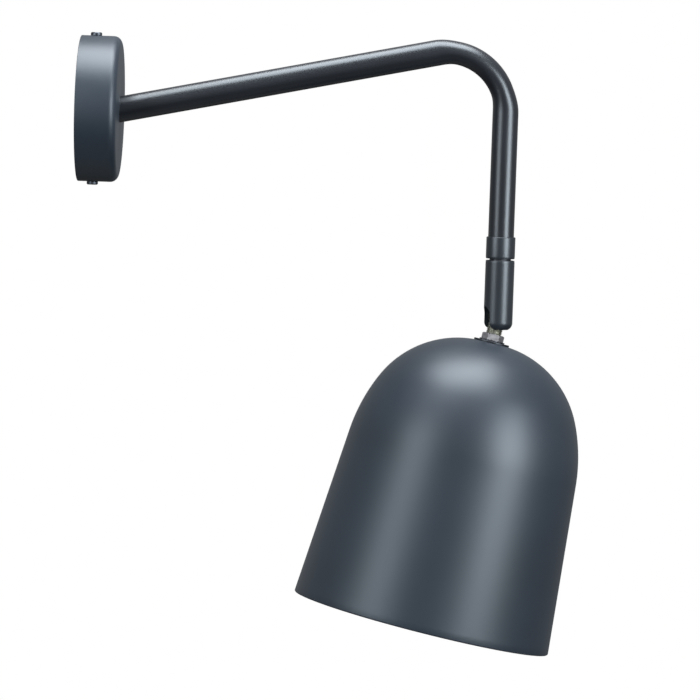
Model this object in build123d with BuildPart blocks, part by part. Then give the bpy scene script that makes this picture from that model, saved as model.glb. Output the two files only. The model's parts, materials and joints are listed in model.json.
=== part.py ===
from build123d import *
import math
import os

# Wall lamp with a bent tube arm, a slotted swivel knuckle and a spun bell shade.
# Millimetres, +Z up. The origin is on the wall, in the middle of the wall bracket.
# +X points out from the wall, and -Y is the side that the lamp is usually seen from.

# --- Driving dimensions -------------------------------------------------------------------

# Fits
slide_clearance = 0.05      # radial, between a turning pin and its bore
loose_clearance = 0.10      # radial, between a turning ball and the bore round it
hole_clearance = 0.2        # radial, round a screw or stub that passes through sheet
seat_clearance = 0.05       # between a soft or sprung piece and what it lies against

# Wall bracket
strap_width = 22.0
strap_thickness = 2.0
ear_reach = 14.0
ear_bend_radius = 1.5
wall_screw_spacing = 60.0
wall_slot_length = 10.0
wall_slot_width = 4.6
cable_hole_radius = 7.0
grommet_bore_radius = 4.5
grommet_flange_radius = 8.8
grommet_flange_thickness = 1.4
earth_screw_height = 17.0

# Canopy
canopy_radius = 45.0
canopy_depth = 25.0
canopy_wall = 1.2
canopy_edge_radius = 5.0
ear_clearance = 0.4         # between the corners of the bracket's ears and the canopy
side_screw_radius = 2.0
side_screw_depth = 9.0
side_screw_length = 9.0
screw_head_radius = 3.5
screw_head_height = 2.0
screw_slot_width = 0.9
screw_slot_depth = 0.9

# Threaded stubs, nuts and washers
stub_radius = 5.0
stub_bore_radius = 2.6
nut_across_flats = 12.1
nut_height = 4.1
nut_corner_angle = 30.0
tooth_count = 12
tooth_width = 1.5
tooth_length = 1.0
tooth_washer_radius = 7.9
tooth_washer_thickness = 0.6

# Arm
tube_radius = 8.0
tube_wall = 1.2
arm_rise_angle = 12.0
rod_distance = 263.0        # wall to the vertical rod's axis
bend_radius = 36.5          # to the tube's centre line
bend_flat_diameter = 14.2   # the tube is drawn this thin in the plane of the bend
bend_wide_diameter = 17.0   # and this wide across it
bend_blend_share = 0.22     # share of the bend over which the round tube turns oval
rod_drop = 121.5            # corner of the centre lines down to the collar's top
plug_length = 14.0
plug_stub_length = 9.5
backing_plate_radius = 18.0
backing_plate_thickness = 2.0

# Swivel
collar_radius = 9.0
collar_height = 13.4
collar_socket_depth = 9.0
collar_chamfer = 0.5
swivel_gap = 1.1
bush_boss_radius = 6.65
bush_thread_radius = 7.6
bush_thread_length = 7.0
swivel_pin_radius = 4.0
swivel_head_radius = 5.6
swivel_head_height = 2.2
swivel_head_slot = 1.6
thrust_washer_thickness = 0.8
stop_pin_radius = 0.7
stop_pin_circle = 5.42
stop_pin_hole_depth = 3.0
stop_pin_reach = 1.7
stop_groove_depth = 2.0
stop_groove_width = 1.45
swivel_range = 160.0        # each way
stop_margin = 0.1

# Knuckle
knuckle_radius = 9.0
knuckle_above_pivot = 34.8
knuckle_below_pivot = 8.6
knuckle_end_radius = 4.8
knuckle_chamfer = 0.4
ball_radius = 6.0
trunnion_radius = 2.0
trunnion_reach = 7.4
slot_azimuth = 16.0         # the slot opens this far round from the wall towards the viewer
saddle_base = 2.3
saddle_bore_radius = 3.3
disc_count = 2
disc_inner_radius = 3.3
disc_outer_radius = 5.7
disc_thickness = 0.5
disc_stack_height = 1.8

# Shade mounting, as depths below the pivot along the shade's axis
rest_tilt = 12.7            # lean at rest, from hanging straight down
ball_flat_depth = 4.6
stub_spigot_radius = 3.2
stub_spigot_length = 2.0
stub_chamfer = 0.6
stub_end_depth = 31.0
nut_top_depth = 11.3
cover_washer_radius = 11.1
cover_washer_thickness = 1.2
inner_washer_radius = 10.5
inner_washer_thickness = 1.2

# Shade
shade_wall = 0.8
shade_land_radius = 11.5
shade_height = 178.7
shoulder_start_angle = 4.9  # slope where the shoulder leaves the flat land
shoulder_radius = 62.1
shoulder_end_angle = 65.3
waist_radius = 110.3
skirt_flare_angle = 4.7
hem_height = 4.0
hem_thickness = 0.8

# Lamp holder and bulb
holder_neck_radius = 8.0
holder_neck_length = 6.5
holder_cap_radius = 18.8
holder_cap_length = 22.0
holder_cap_wall = 2.0
holder_cap_round = 7.0
holder_shell_radius = 20.6
holder_shell_length = 35.0
holder_shell_overlap = 5.0
holder_lip_radius = 15.4
holder_lip_thickness = 1.6
core_radius = 17.2
core_plate_thickness = 9.0
core_skirt_length = 17.0
core_skirt_radius = 16.6
socket_radius = 13.5
socket_wall = 0.4
contact_width = 4.0
contact_length = 11.0
contact_thickness = 0.5
contact_rise = 1.2
holder_screw_spacing = 20.0
holder_screw_radius = 2.6
holder_screw_height = 1.6
bulb_thread_radius = 13.1
bulb_thread_length = 21.0
bulb_insulator_length = 3.5
bulb_contact_radius = 4.5
bulb_contact_height = 1.0
bulb_cap_wall = 0.5
bulb_cap_edge = 1.0
bulb_cap_floor = 2.0
bulb_length = 105.0
bulb_radius = 30.0
bulb_glass = 0.8
bulb_neck_radius = 12.4
bulb_neck_overlap = 6.0
bulb_neck_straight = 2.0
bulb_shoulder_angle = 52.0

# Flex
lead_radius = 2.1
lead_entry_radius = 8.0
lead_elbow_radius = 40.0
lead_end_gap = 2.4
core_wire_radius = 0.9

# Connector block on the bracket
block_length = 20.0
block_height = 12.0
block_depth = 12.0
block_round = 1.0
block_drop = 12.0
block_pole_count = 3
block_pole_spacing = 6.0
block_screw_radius = 1.9
block_screw_recess = 1.5
block_screw_length = 6.0

# --- Worked out from the above ------------------------------------------------------------

ear_corner_radius = canopy_radius - canopy_wall - ear_clearance
strap_length = 2 * math.sqrt(ear_corner_radius**2 - (strap_width / 2) ** 2)
tube_bore_radius = tube_radius - tube_wall
arm_rise = math.radians(arm_rise_angle)
arm_run = rod_distance - canopy_depth
corner_height = arm_run * math.tan(arm_rise)
collar_top = corner_height - rod_drop
collar_bottom = collar_top - collar_height
knuckle_top = collar_bottom - swivel_gap
pivot_height = knuckle_top - knuckle_above_pivot
rod_end_height = collar_top - collar_socket_depth
bore_radius = ball_radius + loose_clearance
slot_width = 2 * bore_radius
slot_top = stub_radius + 0.3
bush_bottom = knuckle_above_pivot - bush_thread_length
head_top = bush_bottom - thrust_washer_thickness
head_bottom = head_top - swivel_head_height
saddle_top = head_bottom - disc_stack_height
nut_bottom_depth = nut_top_depth + nut_height
cover_washer_depth = nut_bottom_depth + tooth_washer_thickness
shade_top_depth = cover_washer_depth + cover_washer_thickness
rim_depth = shade_top_depth + shade_height
inner_washer_depth = shade_top_depth + shade_wall
inner_nut_depth = inner_washer_depth + inner_washer_thickness
holder_top_depth = inner_nut_depth + nut_height
holder_cap_end = holder_top_depth + holder_cap_length
core_top_depth = holder_cap_end
socket_top_depth = core_top_depth + core_plate_thickness
contact_end_depth = socket_top_depth + contact_thickness + contact_rise
bulb_top_depth = contact_end_depth + seat_clearance
bulb_shell_depth = bulb_top_depth + bulb_contact_height + bulb_insulator_length
bulb_cap_end = bulb_shell_depth + bulb_thread_length
bulb_end_depth = bulb_top_depth + bulb_length
shell_start = holder_cap_end - holder_shell_overlap
shell_end = shell_start + holder_shell_length

azimuth = math.radians(slot_azimuth)
tilt = math.radians(rest_tilt)
pivot = Vector(rod_distance, 0, pivot_height)
away = Vector(math.cos(azimuth), math.sin(azimuth), 0)      # from the slot's mouth to its closed side
across = Vector(math.sin(azimuth), -math.cos(azimuth), 0)   # square to the slot
up = Vector(0, 0, 1)
shade_side = away * math.cos(tilt) - up * math.sin(tilt)
shade_down = (away * math.sin(tilt) + up * math.cos(tilt)) * -1

# Profile planes hold half sections: x is the radius and y runs along the axis.
wall_profile = Plane(origin=(0, 0, 0), x_dir=(0, 0, 1), z_dir=(0, 1, 0))
rod_profile = Plane(origin=pivot, x_dir=away, z_dir=across)
shade_profile = Plane(origin=pivot, x_dir=shade_side, z_dir=across)
wall_axis = Axis((0, 0, 0), (1, 0, 0))
shade_axis = Axis(pivot, shade_down)


def wall_level(depth):
    """Plane parallel to the wall, at a distance out from it; x is +Y and y is +Z."""
    return Plane(origin=(depth, 0, 0), x_dir=(0, 1, 0), z_dir=(1, 0, 0))


def rod_level(height):
    """Level plane across the rod's axis, at a height above the tilt pivot."""
    return Plane(origin=pivot + up * height, x_dir=away, z_dir=up)


def shade_level(depth):
    """Plane square to the shade's axis, at a depth below the pivot; it faces down the axis."""
    return Plane(origin=pivot + shade_down * depth, x_dir=shade_side, z_dir=shade_down)


def washer(plane, outer_radius, inner_radius, thickness):
    """Plain flat ring that stands on the plane."""
    with BuildPart() as ring:
        with BuildSketch(plane):
            Circle(outer_radius)
            Circle(inner_radius, mode=Mode.SUBTRACT)
        extrude(amount=thickness)
    return ring.part


def toothed_washer(plane):
    """Lock washer with teeth round its outside."""
    root_radius = tooth_washer_radius - tooth_length
    with BuildPart() as ring:
        with BuildSketch(plane):
            Circle(root_radius)
            with PolarLocations(root_radius, tooth_count):
                Rectangle(2 * tooth_length, tooth_width)
            Circle(stub_radius, mode=Mode.SUBTRACT)
        extrude(amount=tooth_washer_thickness)
    return ring.part


def hex_nut_blank(plane, turn):
    """Thin hexagon nut that stands on the plane, its far corners turned down by a cone."""
    flat = nut_across_flats / 2
    corner = flat / math.cos(math.pi / 6)
    corner_drop = (corner - flat) * math.tan(math.radians(nut_corner_angle))
    with BuildPart() as nut:
        with BuildSketch(plane):
            RegularPolygon(radius=corner, side_count=6, rotation=turn)
            Circle(stub_radius, mode=Mode.SUBTRACT)
        extrude(amount=nut_height)
        with BuildSketch(Plane(origin=plane.origin, x_dir=plane.x_dir, z_dir=plane.y_dir * -1)):
            with BuildLine():
                Polyline(
                    (0, 0),
                    (corner, 0),
                    (corner, nut_height - corner_drop),
                    (flat, nut_height),
                    (0, nut_height),
                    close=True,
                )
            make_face()
        revolve(axis=Axis(plane.origin, plane.z_dir), mode=Mode.INTERSECT)
    return nut.part


def slotted_screw(plane, head_radius, head_height, shank_radius, shank_length):
    """Screw whose head stands on the plane and whose shank goes down through it."""
    with BuildPart() as screw:
        with BuildSketch(plane):
            Circle(head_radius)
        extrude(amount=head_height)
        chamfer(screw.faces().sort_by(Axis(plane.origin, plane.z_dir))[-1].edges(), head_height / 4)
        with BuildSketch(plane):
            Circle(shank_radius)
        extrude(amount=-shank_length)
        with BuildSketch(plane.offset(head_height - screw_slot_depth)):
            Rectangle(2 * head_radius, screw_slot_width)
        extrude(amount=screw_slot_depth, mode=Mode.SUBTRACT)
    return screw.part


def save(part, name):
    """Label one finished piece and write it to its own file."""
    part.label = name
    export_step(part, f"parts/{name}.step")


os.makedirs("parts", exist_ok=True)

# --- Wall bracket and what it carries -----------------------------------------------------

# Strap with both ends turned outwards; the ears take the canopy's side screws.
with BuildPart() as wall_bracket:
    with BuildSketch(Plane.XZ):
        with Locations((ear_reach / 2, 0)):
            Rectangle(ear_reach, strap_length)
        with Locations((ear_reach / 2 + strap_thickness, 0)):
            Rectangle(ear_reach, strap_length - 2 * strap_thickness, mode=Mode.SUBTRACT)
    extrude(amount=strap_width / 2, both=True)
    outer_bends = wall_bracket.edges().filter_by(Axis.Y).filter_by_position(Axis.X, -0.1, 0.1)
    fillet(outer_bends, ear_bend_radius)
    with BuildSketch(wall_level(0)):
        with GridLocations(0, wall_screw_spacing, 1, 2):
            SlotOverall(wall_slot_length, wall_slot_width, rotation=90)
        Circle(cable_hole_radius)
        with Locations((0, earth_screw_height)):
            Circle(side_screw_radius)
    extrude(amount=strap_thickness, mode=Mode.SUBTRACT)
    with BuildSketch(Plane.XY):
        with Locations((side_screw_depth, 0)):
            Circle(side_screw_radius)
    extrude(amount=strap_length, both=True, mode=Mode.SUBTRACT)
save(wall_bracket.part, "wall_bracket")

with BuildPart() as cable_grommet:
    with BuildSketch(wall_level(0)):
        Circle(cable_hole_radius)
    extrude(amount=strap_thickness)
    with BuildSketch(wall_level(strap_thickness)):
        Circle(grommet_flange_radius)
    extrude(amount=grommet_flange_thickness)
    flange_rim = cable_grommet.edges().filter_by(GeomType.CIRCLE).sort_by(Axis.X)[-1]
    chamfer(flange_rim, grommet_flange_thickness / 2)
    with BuildSketch(wall_level(0)):
        Circle(grommet_bore_radius)
    extrude(amount=strap_thickness + grommet_flange_thickness, mode=Mode.SUBTRACT)
save(cable_grommet.part, "cable_grommet")

earth_plane = Plane(origin=(strap_thickness, 0, earth_screw_height), x_dir=(0, 1, 0), z_dir=(1, 0, 0))
earth_screw = slotted_screw(
    earth_plane, screw_head_radius, screw_head_height, side_screw_radius, strap_thickness
)
save(earth_screw, "earth_screw")

# Connector block: one moulding with a screw tunnel and a wire tunnel for each pole.
block_top = -block_drop
block_plane = Plane(
    origin=(strap_thickness, 0, block_top - block_height / 2), x_dir=(0, 1, 0), z_dir=(1, 0, 0)
)
with BuildPart() as terminal_block:
    with BuildSketch(block_plane):
        Rectangle(block_length, block_height)
    extrude(amount=block_depth)
    fillet(terminal_block.edges().filter_by(Axis.X), block_round)
    with BuildSketch(block_plane.offset(block_depth - block_screw_length)):
        with GridLocations(block_pole_spacing, 0, block_pole_count, 1):
            Circle(block_screw_radius)
    extrude(amount=block_screw_length, mode=Mode.SUBTRACT)
save(terminal_block.part, "terminal_block")

with BuildPart() as terminal_screws:
    screw_seat = block_plane.offset(block_depth - block_screw_length)
    with BuildSketch(screw_seat):
        with GridLocations(block_pole_spacing, 0, block_pole_count, 1):
            Circle(block_screw_radius)
    extrude(amount=block_screw_length - block_screw_recess)
    with BuildSketch(block_plane.offset(block_depth - block_screw_recess - screw_slot_depth)):
        with GridLocations(block_pole_spacing, 0, block_pole_count, 1):
            Rectangle(screw_slot_width, 2 * block_screw_radius)
    extrude(amount=screw_slot_depth, mode=Mode.SUBTRACT)
save(terminal_screws.part, "terminal_screws")

# --- Canopy -------------------------------------------------------------------------------

with BuildPart() as canopy:
    with BuildSketch(wall_profile):
        with BuildLine():
            side = Line((canopy_radius, 0), (canopy_radius, canopy_depth - canopy_edge_radius))
            edge = JernArc(side @ 1, (0, 1), canopy_edge_radius, 90)
            Line(edge @ 1, (stub_radius + hole_clearance, canopy_depth))
            offset(amount=canopy_wall, side=Side.LEFT)
        make_face()
    revolve(axis=wall_axis)
    with BuildSketch(Plane.XY):
        with Locations((side_screw_depth, 0)):
            Circle(side_screw_radius + hole_clearance)
    extrude(amount=canopy_radius, both=True, mode=Mode.SUBTRACT)
save(canopy.part, "canopy")

canopy_screws = Part()
for direction in (1, -1):
    screw_plane = Plane(
        origin=(side_screw_depth, 0, direction * canopy_radius), x_dir=(1, 0, 0), z_dir=(0, 0, direction)
    )
    canopy_screws += slotted_screw(
        screw_plane, screw_head_radius, screw_head_height, side_screw_radius, side_screw_length
    )
save(canopy_screws, "canopy_screws")

backing_plate_face = canopy_depth - canopy_wall - backing_plate_thickness
backing_plate = washer(
    wall_level(backing_plate_face), backing_plate_radius, stub_radius, backing_plate_thickness
)
save(backing_plate, "backing_plate")

arm_lock_washer = toothed_washer(wall_level(backing_plate_face - tooth_washer_thickness))
save(arm_lock_washer, "arm_lock_washer")

arm_nut_seat = Plane(
    origin=(backing_plate_face - tooth_washer_thickness, 0, 0), x_dir=(0, 1, 0), z_dir=(-1, 0, 0)
)
save(hex_nut_blank(arm_nut_seat, 0), "arm_nut")

# --- Arm ----------------------------------------------------------------------------------

arm_along = Vector(math.cos(arm_rise), 0, math.sin(arm_rise))
arm_foot = Vector(canopy_depth, 0, 0)
corner = Vector(rod_distance, 0, corner_height)
bend_turn = 90 + arm_rise_angle
bend_tangent = bend_radius * math.tan(math.radians(bend_turn / 2))
bend_start = corner - arm_along * bend_tangent
bend_end = corner - up * bend_tangent
mitre_overrun = 2 * tube_radius * math.tan(arm_rise)
arm_start = Plane(origin=arm_foot - arm_along * mitre_overrun, x_dir=(0, 1, 0), z_dir=arm_along)


def bend_sections(path, shrink):
    """Ovals square to the bend: round at both ends, flattened in between."""
    for share in (0, bend_blend_share, 1 - bend_blend_share, 1):
        at_end = share in (0, 1)
        across_bend = tube_radius if at_end else bend_wide_diameter / 2
        in_bend = tube_radius if at_end else bend_flat_diameter / 2
        with BuildSketch(Plane(origin=path @ share, x_dir=(0, 1, 0), z_dir=path % share)) as oval:
            Ellipse(across_bend - shrink, in_bend - shrink)
        yield oval.sketch


with BuildLine(Plane.XZ) as bend_line:
    JernArc((bend_start.X, bend_start.Z), (arm_along.X, arm_along.Z), bend_radius, -bend_turn)
bend_path = bend_line.line

with BuildPart() as arm_tube:
    sweep(list(bend_sections(bend_path, 0)), path=bend_path, multisection=True)
    sweep(list(bend_sections(bend_path, tube_wall)), path=bend_path, multisection=True, mode=Mode.SUBTRACT)
    with BuildSketch(arm_start):
        Circle(tube_radius)
        Circle(tube_bore_radius, mode=Mode.SUBTRACT)
    extrude(amount=(bend_start - arm_start.origin).length)
    with BuildSketch(Plane.XY.offset(rod_end_height)):
        with Locations((rod_distance, 0)):
            Circle(tube_radius)
            Circle(tube_bore_radius, mode=Mode.SUBTRACT)
    extrude(amount=bend_end.Z - rod_end_height)
    split(bisect_by=Plane.YZ.offset(canopy_depth), keep=Keep.TOP)
save(arm_tube.part, "arm_tube")

# Plug in the tube's mitred end, with the hollow threaded stub that goes through the canopy.
with BuildPart() as arm_end_plug:
    with BuildSketch(arm_start):
        Circle(tube_bore_radius)
    extrude(amount=plug_length + mitre_overrun)
    split(bisect_by=Plane.YZ.offset(canopy_depth), keep=Keep.TOP)
    with BuildSketch(wall_level(canopy_depth)):
        Circle(stub_radius)
    extrude(amount=-plug_stub_length)
    with BuildSketch(wall_level(canopy_depth)):
        Circle(stub_bore_radius)
    extrude(amount=plug_stub_length, both=True, mode=Mode.SUBTRACT)
    with BuildSketch(Plane(origin=arm_foot, x_dir=(0, 1, 0), z_dir=arm_along)):
        Circle(stub_bore_radius)
    extrude(amount=2 * plug_length, mode=Mode.SUBTRACT)
save(arm_end_plug.part, "arm_end_plug")

# --- Flex inside the arm ------------------------------------------------------------------

lead_start = (canopy_depth - plug_stub_length - lead_entry_radius, block_top)
lead_finish = (rod_distance, pivot_height + head_bottom)
with BuildPart() as arm_lead:
    with BuildLine(Plane.XZ) as arm_lead_line:
        FilletPolyline(
            lead_start,
            (lead_start[0], 0),
            (canopy_depth, 0),
            (rod_distance, corner_height),
            lead_finish,
            radius=[lead_entry_radius, lead_elbow_radius, bend_radius],
        )
    with BuildSketch(Plane.XY.offset(block_top)):
        with Locations((lead_start[0], 0)):
            Circle(lead_radius)
    sweep(path=arm_lead_line.line)
save(arm_lead.part, "arm_lead")

# --- Swivel -------------------------------------------------------------------------------

collar_base = knuckle_above_pivot + swivel_gap

with BuildPart() as swivel_collar:
    with BuildSketch(rod_level(collar_base)):
        Circle(collar_radius)
    extrude(amount=collar_height)
    outer_rims = swivel_collar.edges().filter_by(GeomType.CIRCLE)
    chamfer(outer_rims, collar_chamfer)
    with BuildSketch(rod_level(collar_base + collar_height - collar_socket_depth)):
        Circle(tube_radius)
    extrude(amount=collar_socket_depth, mode=Mode.SUBTRACT)
    with BuildSketch(rod_level(collar_base)):
        Circle(swivel_pin_radius)
    extrude(amount=collar_height, mode=Mode.SUBTRACT)
    with BuildSketch(rod_level(collar_base)):
        with Locations((stop_pin_circle, 0)):
            Circle(stop_pin_radius)
    extrude(amount=stop_pin_hole_depth, mode=Mode.SUBTRACT)
save(swivel_collar.part, "swivel_collar")

with BuildPart() as stop_pin:
    with BuildSketch(rod_level(collar_base - stop_pin_reach)):
        with Locations((stop_pin_circle, 0)):
            Circle(stop_pin_radius)
    extrude(amount=stop_pin_reach + stop_pin_hole_depth)
save(stop_pin.part, "stop_pin")

# Headed hollow pin: it goes up through the bush and screws into the collar.
with BuildPart() as swivel_pin:
    with BuildSketch(rod_level(head_bottom)):
        Circle(swivel_head_radius)
    extrude(amount=swivel_head_height)
    with BuildSketch(rod_level(head_top)):
        Circle(swivel_pin_radius)
    extrude(amount=collar_base + collar_height - collar_socket_depth - head_top)
    with BuildSketch(rod_level(head_bottom)):
        Rectangle(2 * swivel_head_radius, swivel_head_slot)
    extrude(amount=swivel_head_slot / 2, mode=Mode.SUBTRACT)
    with BuildSketch(rod_level(head_bottom)):
        Circle(stub_bore_radius)
    extrude(amount=knuckle_above_pivot, mode=Mode.SUBTRACT)
save(swivel_pin.part, "swivel_pin")

# Bush screwed into the knuckle's top. Its boss shows as the dark neck in the gap, and the groove
# in the boss lets the stop pin travel until the solid part of the groove meets it.
stop_angle = math.radians(180 - swivel_range)
stop_block_width = 2 * (stop_pin_circle * math.sin(stop_angle) - stop_pin_radius - stop_margin)
with BuildPart() as swivel_bush:
    with BuildSketch(rod_level(bush_bottom)):
        Circle(bush_thread_radius)
    extrude(amount=bush_thread_length)
    with BuildSketch(rod_level(knuckle_above_pivot)):
        Circle(bush_boss_radius)
    extrude(amount=swivel_gap)
    with BuildSketch(rod_level(bush_bottom)):
        Circle(swivel_pin_radius + slide_clearance)
    extrude(amount=bush_thread_length + swivel_gap, mode=Mode.SUBTRACT)
    with BuildSketch(rod_level(collar_base)):
        Circle(stop_pin_circle + stop_groove_width / 2)
        Circle(stop_pin_circle - stop_groove_width / 2, mode=Mode.SUBTRACT)
        with Locations((-stop_pin_circle, 0)):
            Rectangle(2 * stop_groove_width, stop_block_width, mode=Mode.SUBTRACT)
    extrude(amount=-stop_groove_depth, mode=Mode.SUBTRACT)
save(swivel_bush.part, "swivel_bush")

thrust_washer = washer(
    rod_level(head_top), swivel_head_radius, swivel_pin_radius + slide_clearance, thrust_washer_thickness
)
save(thrust_washer, "thrust_washer")

# --- Knuckle ------------------------------------------------------------------------------

# Bored right through for the pivot ball, threaded at the top for the bush, slotted on the wall
# side so that the shade can tilt, and grooved inside for the ball's trunnions.
with BuildPart() as knuckle_body:
    with BuildSketch(rod_level(-knuckle_below_pivot)):
        Circle(knuckle_radius)
    extrude(amount=knuckle_below_pivot + knuckle_above_pivot)
    fillet(knuckle_body.edges().group_by(Axis.Z)[0], knuckle_end_radius)
    chamfer(knuckle_body.edges().group_by(Axis.Z)[-1], knuckle_chamfer)
    with BuildSketch(rod_level(-knuckle_below_pivot)):
        Circle(bore_radius)
    extrude(amount=knuckle_below_pivot + bush_bottom, mode=Mode.SUBTRACT)
    with BuildSketch(rod_level(bush_bottom)):
        Circle(bush_thread_radius)
    extrude(amount=bush_thread_length, mode=Mode.SUBTRACT)
    with BuildSketch(rod_level(-knuckle_below_pivot)):
        with Locations((-knuckle_radius, 0)):
            Rectangle(2 * knuckle_radius, slot_width)
    extrude(amount=knuckle_below_pivot + slot_top, mode=Mode.SUBTRACT)
    with BuildSketch(rod_profile):
        Circle(trunnion_radius + slide_clearance)
        with Locations((0, bush_bottom / 2)):
            Rectangle(2 * (trunnion_radius + slide_clearance), bush_bottom)
    extrude(amount=trunnion_reach + loose_clearance, both=True, mode=Mode.SUBTRACT)
save(knuckle_body.part, "knuckle_body")

# Moulded saddle that the disc springs press on the ball; cut away where the threaded stub swings up.
with BuildPart() as friction_saddle:
    with BuildSketch(rod_level(saddle_base)):
        Circle(ball_radius)
        Circle(saddle_bore_radius, mode=Mode.SUBTRACT)
    extrude(amount=saddle_top - saddle_base)
    with BuildSketch(rod_profile):
        with BuildLine():
            seat = CenterArc((0, 0), ball_radius + seat_clearance, -90, 180)
            Line(seat @ 0, seat @ 1)
        make_face()
    revolve(axis=Axis(pivot, up), mode=Mode.SUBTRACT)
    with BuildSketch(rod_level(saddle_base)):
        with Locations((-ball_radius, 0)):
            Rectangle(2 * ball_radius, slot_width)
    extrude(amount=slot_top - saddle_base, mode=Mode.SUBTRACT)
save(friction_saddle.part, "friction_saddle")

# Two disc springs between the swivel pin's head and the saddle, stacked edge to edge.
disc_rise = disc_stack_height / disc_count - disc_thickness
disc_springs = Part()
for number in range(disc_count):
    disc_base = saddle_top + number * (disc_rise + disc_thickness)
    inner_rise = disc_rise if number % 2 else 0
    outer_rise = disc_rise - inner_rise
    with BuildPart() as disc:
        with BuildSketch(rod_profile):
            with BuildLine():
                Polyline(
                    (disc_inner_radius, disc_base + inner_rise),
                    (disc_outer_radius, disc_base + outer_rise),
                    (disc_outer_radius, disc_base + outer_rise + disc_thickness),
                    (disc_inner_radius, disc_base + inner_rise + disc_thickness),
                    close=True,
                )
            make_face()
        revolve(axis=Axis(pivot, up))
    disc_springs += disc.part
save(disc_springs, "disc_springs")

with BuildPart() as knuckle_lead:
    with BuildSketch(rod_level(lead_end_gap)):
        Circle(lead_radius)
    extrude(amount=head_bottom - lead_end_gap)
save(knuckle_lead.part, "knuckle_lead")

# --- Pivot ball, stub and clamping pieces -------------------------------------------------

# Ball with two trunnions; the flex runs down through the open side of the ball into the stub.
lead_slot_low = stub_spigot_length - ball_flat_depth
lead_slot_side = lead_radius + 0.9
lead_slot_half = lead_radius + 0.7
with BuildPart() as pivot_ball:
    with BuildSketch(shade_profile):
        with BuildLine():
            ball_arc = CenterArc((0, 0), ball_radius, -90, 180)
            Line(ball_arc @ 0, ball_arc @ 1)
        make_face()
    revolve(axis=shade_axis)
    with BuildSketch(shade_profile):
        Circle(trunnion_radius)
    extrude(amount=trunnion_reach, both=True)
    with BuildSketch(shade_level(ball_flat_depth)):
        Circle(ball_radius)
    extrude(amount=ball_radius, mode=Mode.SUBTRACT)
    with BuildSketch(shade_profile):
        with Locations((lead_slot_side - ball_radius, lead_slot_low + ball_radius)):
            Rectangle(2 * ball_radius, 2 * ball_radius)
    extrude(amount=lead_slot_half, both=True, mode=Mode.SUBTRACT)
    with BuildSketch(shade_level(ball_flat_depth - stub_spigot_length)):
        Circle(stub_spigot_radius)
    extrude(amount=stub_spigot_length, mode=Mode.SUBTRACT)
save(pivot_ball.part, "pivot_ball")

with BuildPart() as threaded_stub:
    with BuildSketch(shade_level(ball_flat_depth)):
        Circle(stub_radius)
    extrude(amount=stub_end_depth - ball_flat_depth)
    chamfer(threaded_stub.edges().filter_by(GeomType.CIRCLE), stub_chamfer)
    with BuildSketch(shade_level(ball_flat_depth - stub_spigot_length)):
        Circle(stub_spigot_radius)
    extrude(amount=stub_spigot_length)
    with BuildSketch(shade_level(ball_flat_depth - stub_spigot_length)):
        Circle(stub_bore_radius)
    extrude(amount=stub_end_depth, mode=Mode.SUBTRACT)
save(threaded_stub.part, "threaded_stub")

nut_turn = slot_azimuth
hex_nut_seat = Plane(
    origin=pivot + shade_down * nut_bottom_depth, x_dir=shade_side, z_dir=shade_down * -1
)
save(hex_nut_blank(hex_nut_seat, -nut_turn), "hex_nut")
save(toothed_washer(shade_level(nut_bottom_depth)), "tooth_washer")
cover_washer = washer(
    shade_level(cover_washer_depth), cover_washer_radius, stub_radius, cover_washer_thickness
)
save(cover_washer, "cover_washer")
inner_washer = washer(
    shade_level(inner_washer_depth), inner_washer_radius, stub_radius, inner_washer_thickness
)
save(inner_washer, "inner_washer")
save(hex_nut_blank(shade_level(inner_nut_depth), nut_turn), "inner_nut")

# --- Shade --------------------------------------------------------------------------------

# Spun shell: a flat land under the washer, a round shoulder, a slower curve below it and a
# straight flared skirt, with the rim folded inwards.
flare = math.tan(math.radians(skirt_flare_angle))
shoulder_slope = math.radians(shoulder_start_angle)
with BuildPart() as shade:
    with BuildSketch(shade_profile):
        with BuildLine():
            land = Line(
                (stub_radius + hole_clearance, -shade_top_depth), (shade_land_radius, -shade_top_depth)
            )
            shoulder = JernArc(
                land @ 1,
                (math.cos(shoulder_slope), -math.sin(shoulder_slope)),
                shoulder_radius,
                shoulder_start_angle - shoulder_end_angle,
            )
            waist = JernArc(
                shoulder @ 1, shoulder % 1, waist_radius, shoulder_end_angle + skirt_flare_angle - 90
            )
            waist_end = waist @ 1
            rim_radius = waist_end.X + (rim_depth + waist_end.Y) * flare
            Line(waist_end, (rim_radius, -rim_depth))
            offset(amount=shade_wall, side=Side.RIGHT)
        make_face()
        with BuildLine():
            hem_outer = rim_radius - shade_wall / math.cos(math.radians(skirt_flare_angle))
            Polyline(
                (hem_outer, -rim_depth),
                (hem_outer - hem_height * flare, hem_height - rim_depth),
                (hem_outer - hem_height * flare - hem_thickness, hem_height - rim_depth),
                (hem_outer - hem_thickness, -rim_depth),
                close=True,
            )
        make_face()
    revolve(axis=shade_axis)
save(shade.part, "shade")

# --- Lamp holder --------------------------------------------------------------------------

neck_end = holder_top_depth + holder_neck_length
with BuildPart() as holder_cap:
    with BuildSketch(shade_profile):
        with BuildLine():
            Polyline(
                (stub_radius, -holder_top_depth),
                (holder_neck_radius, -holder_top_depth),
                (holder_neck_radius, -neck_end),
                (holder_cap_radius - holder_cap_round, -neck_end),
            )
            cap_round = JernArc(
                (holder_cap_radius - holder_cap_round, -neck_end), (1, 0), holder_cap_round, -90
            )
            Polyline(
                cap_round @ 1,
                (holder_cap_radius, -holder_cap_end),
                (holder_cap_radius - holder_cap_wall, -holder_cap_end),
                (holder_cap_radius - holder_cap_wall, -neck_end - holder_cap_round),
                (holder_cap_radius - holder_cap_round, -neck_end - holder_cap_wall),
                (stub_radius, -neck_end - holder_cap_wall),
                (stub_radius, -holder_top_depth),
            )
        make_face()
    revolve(axis=shade_axis)
save(holder_cap.part, "holder_cap")

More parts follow.
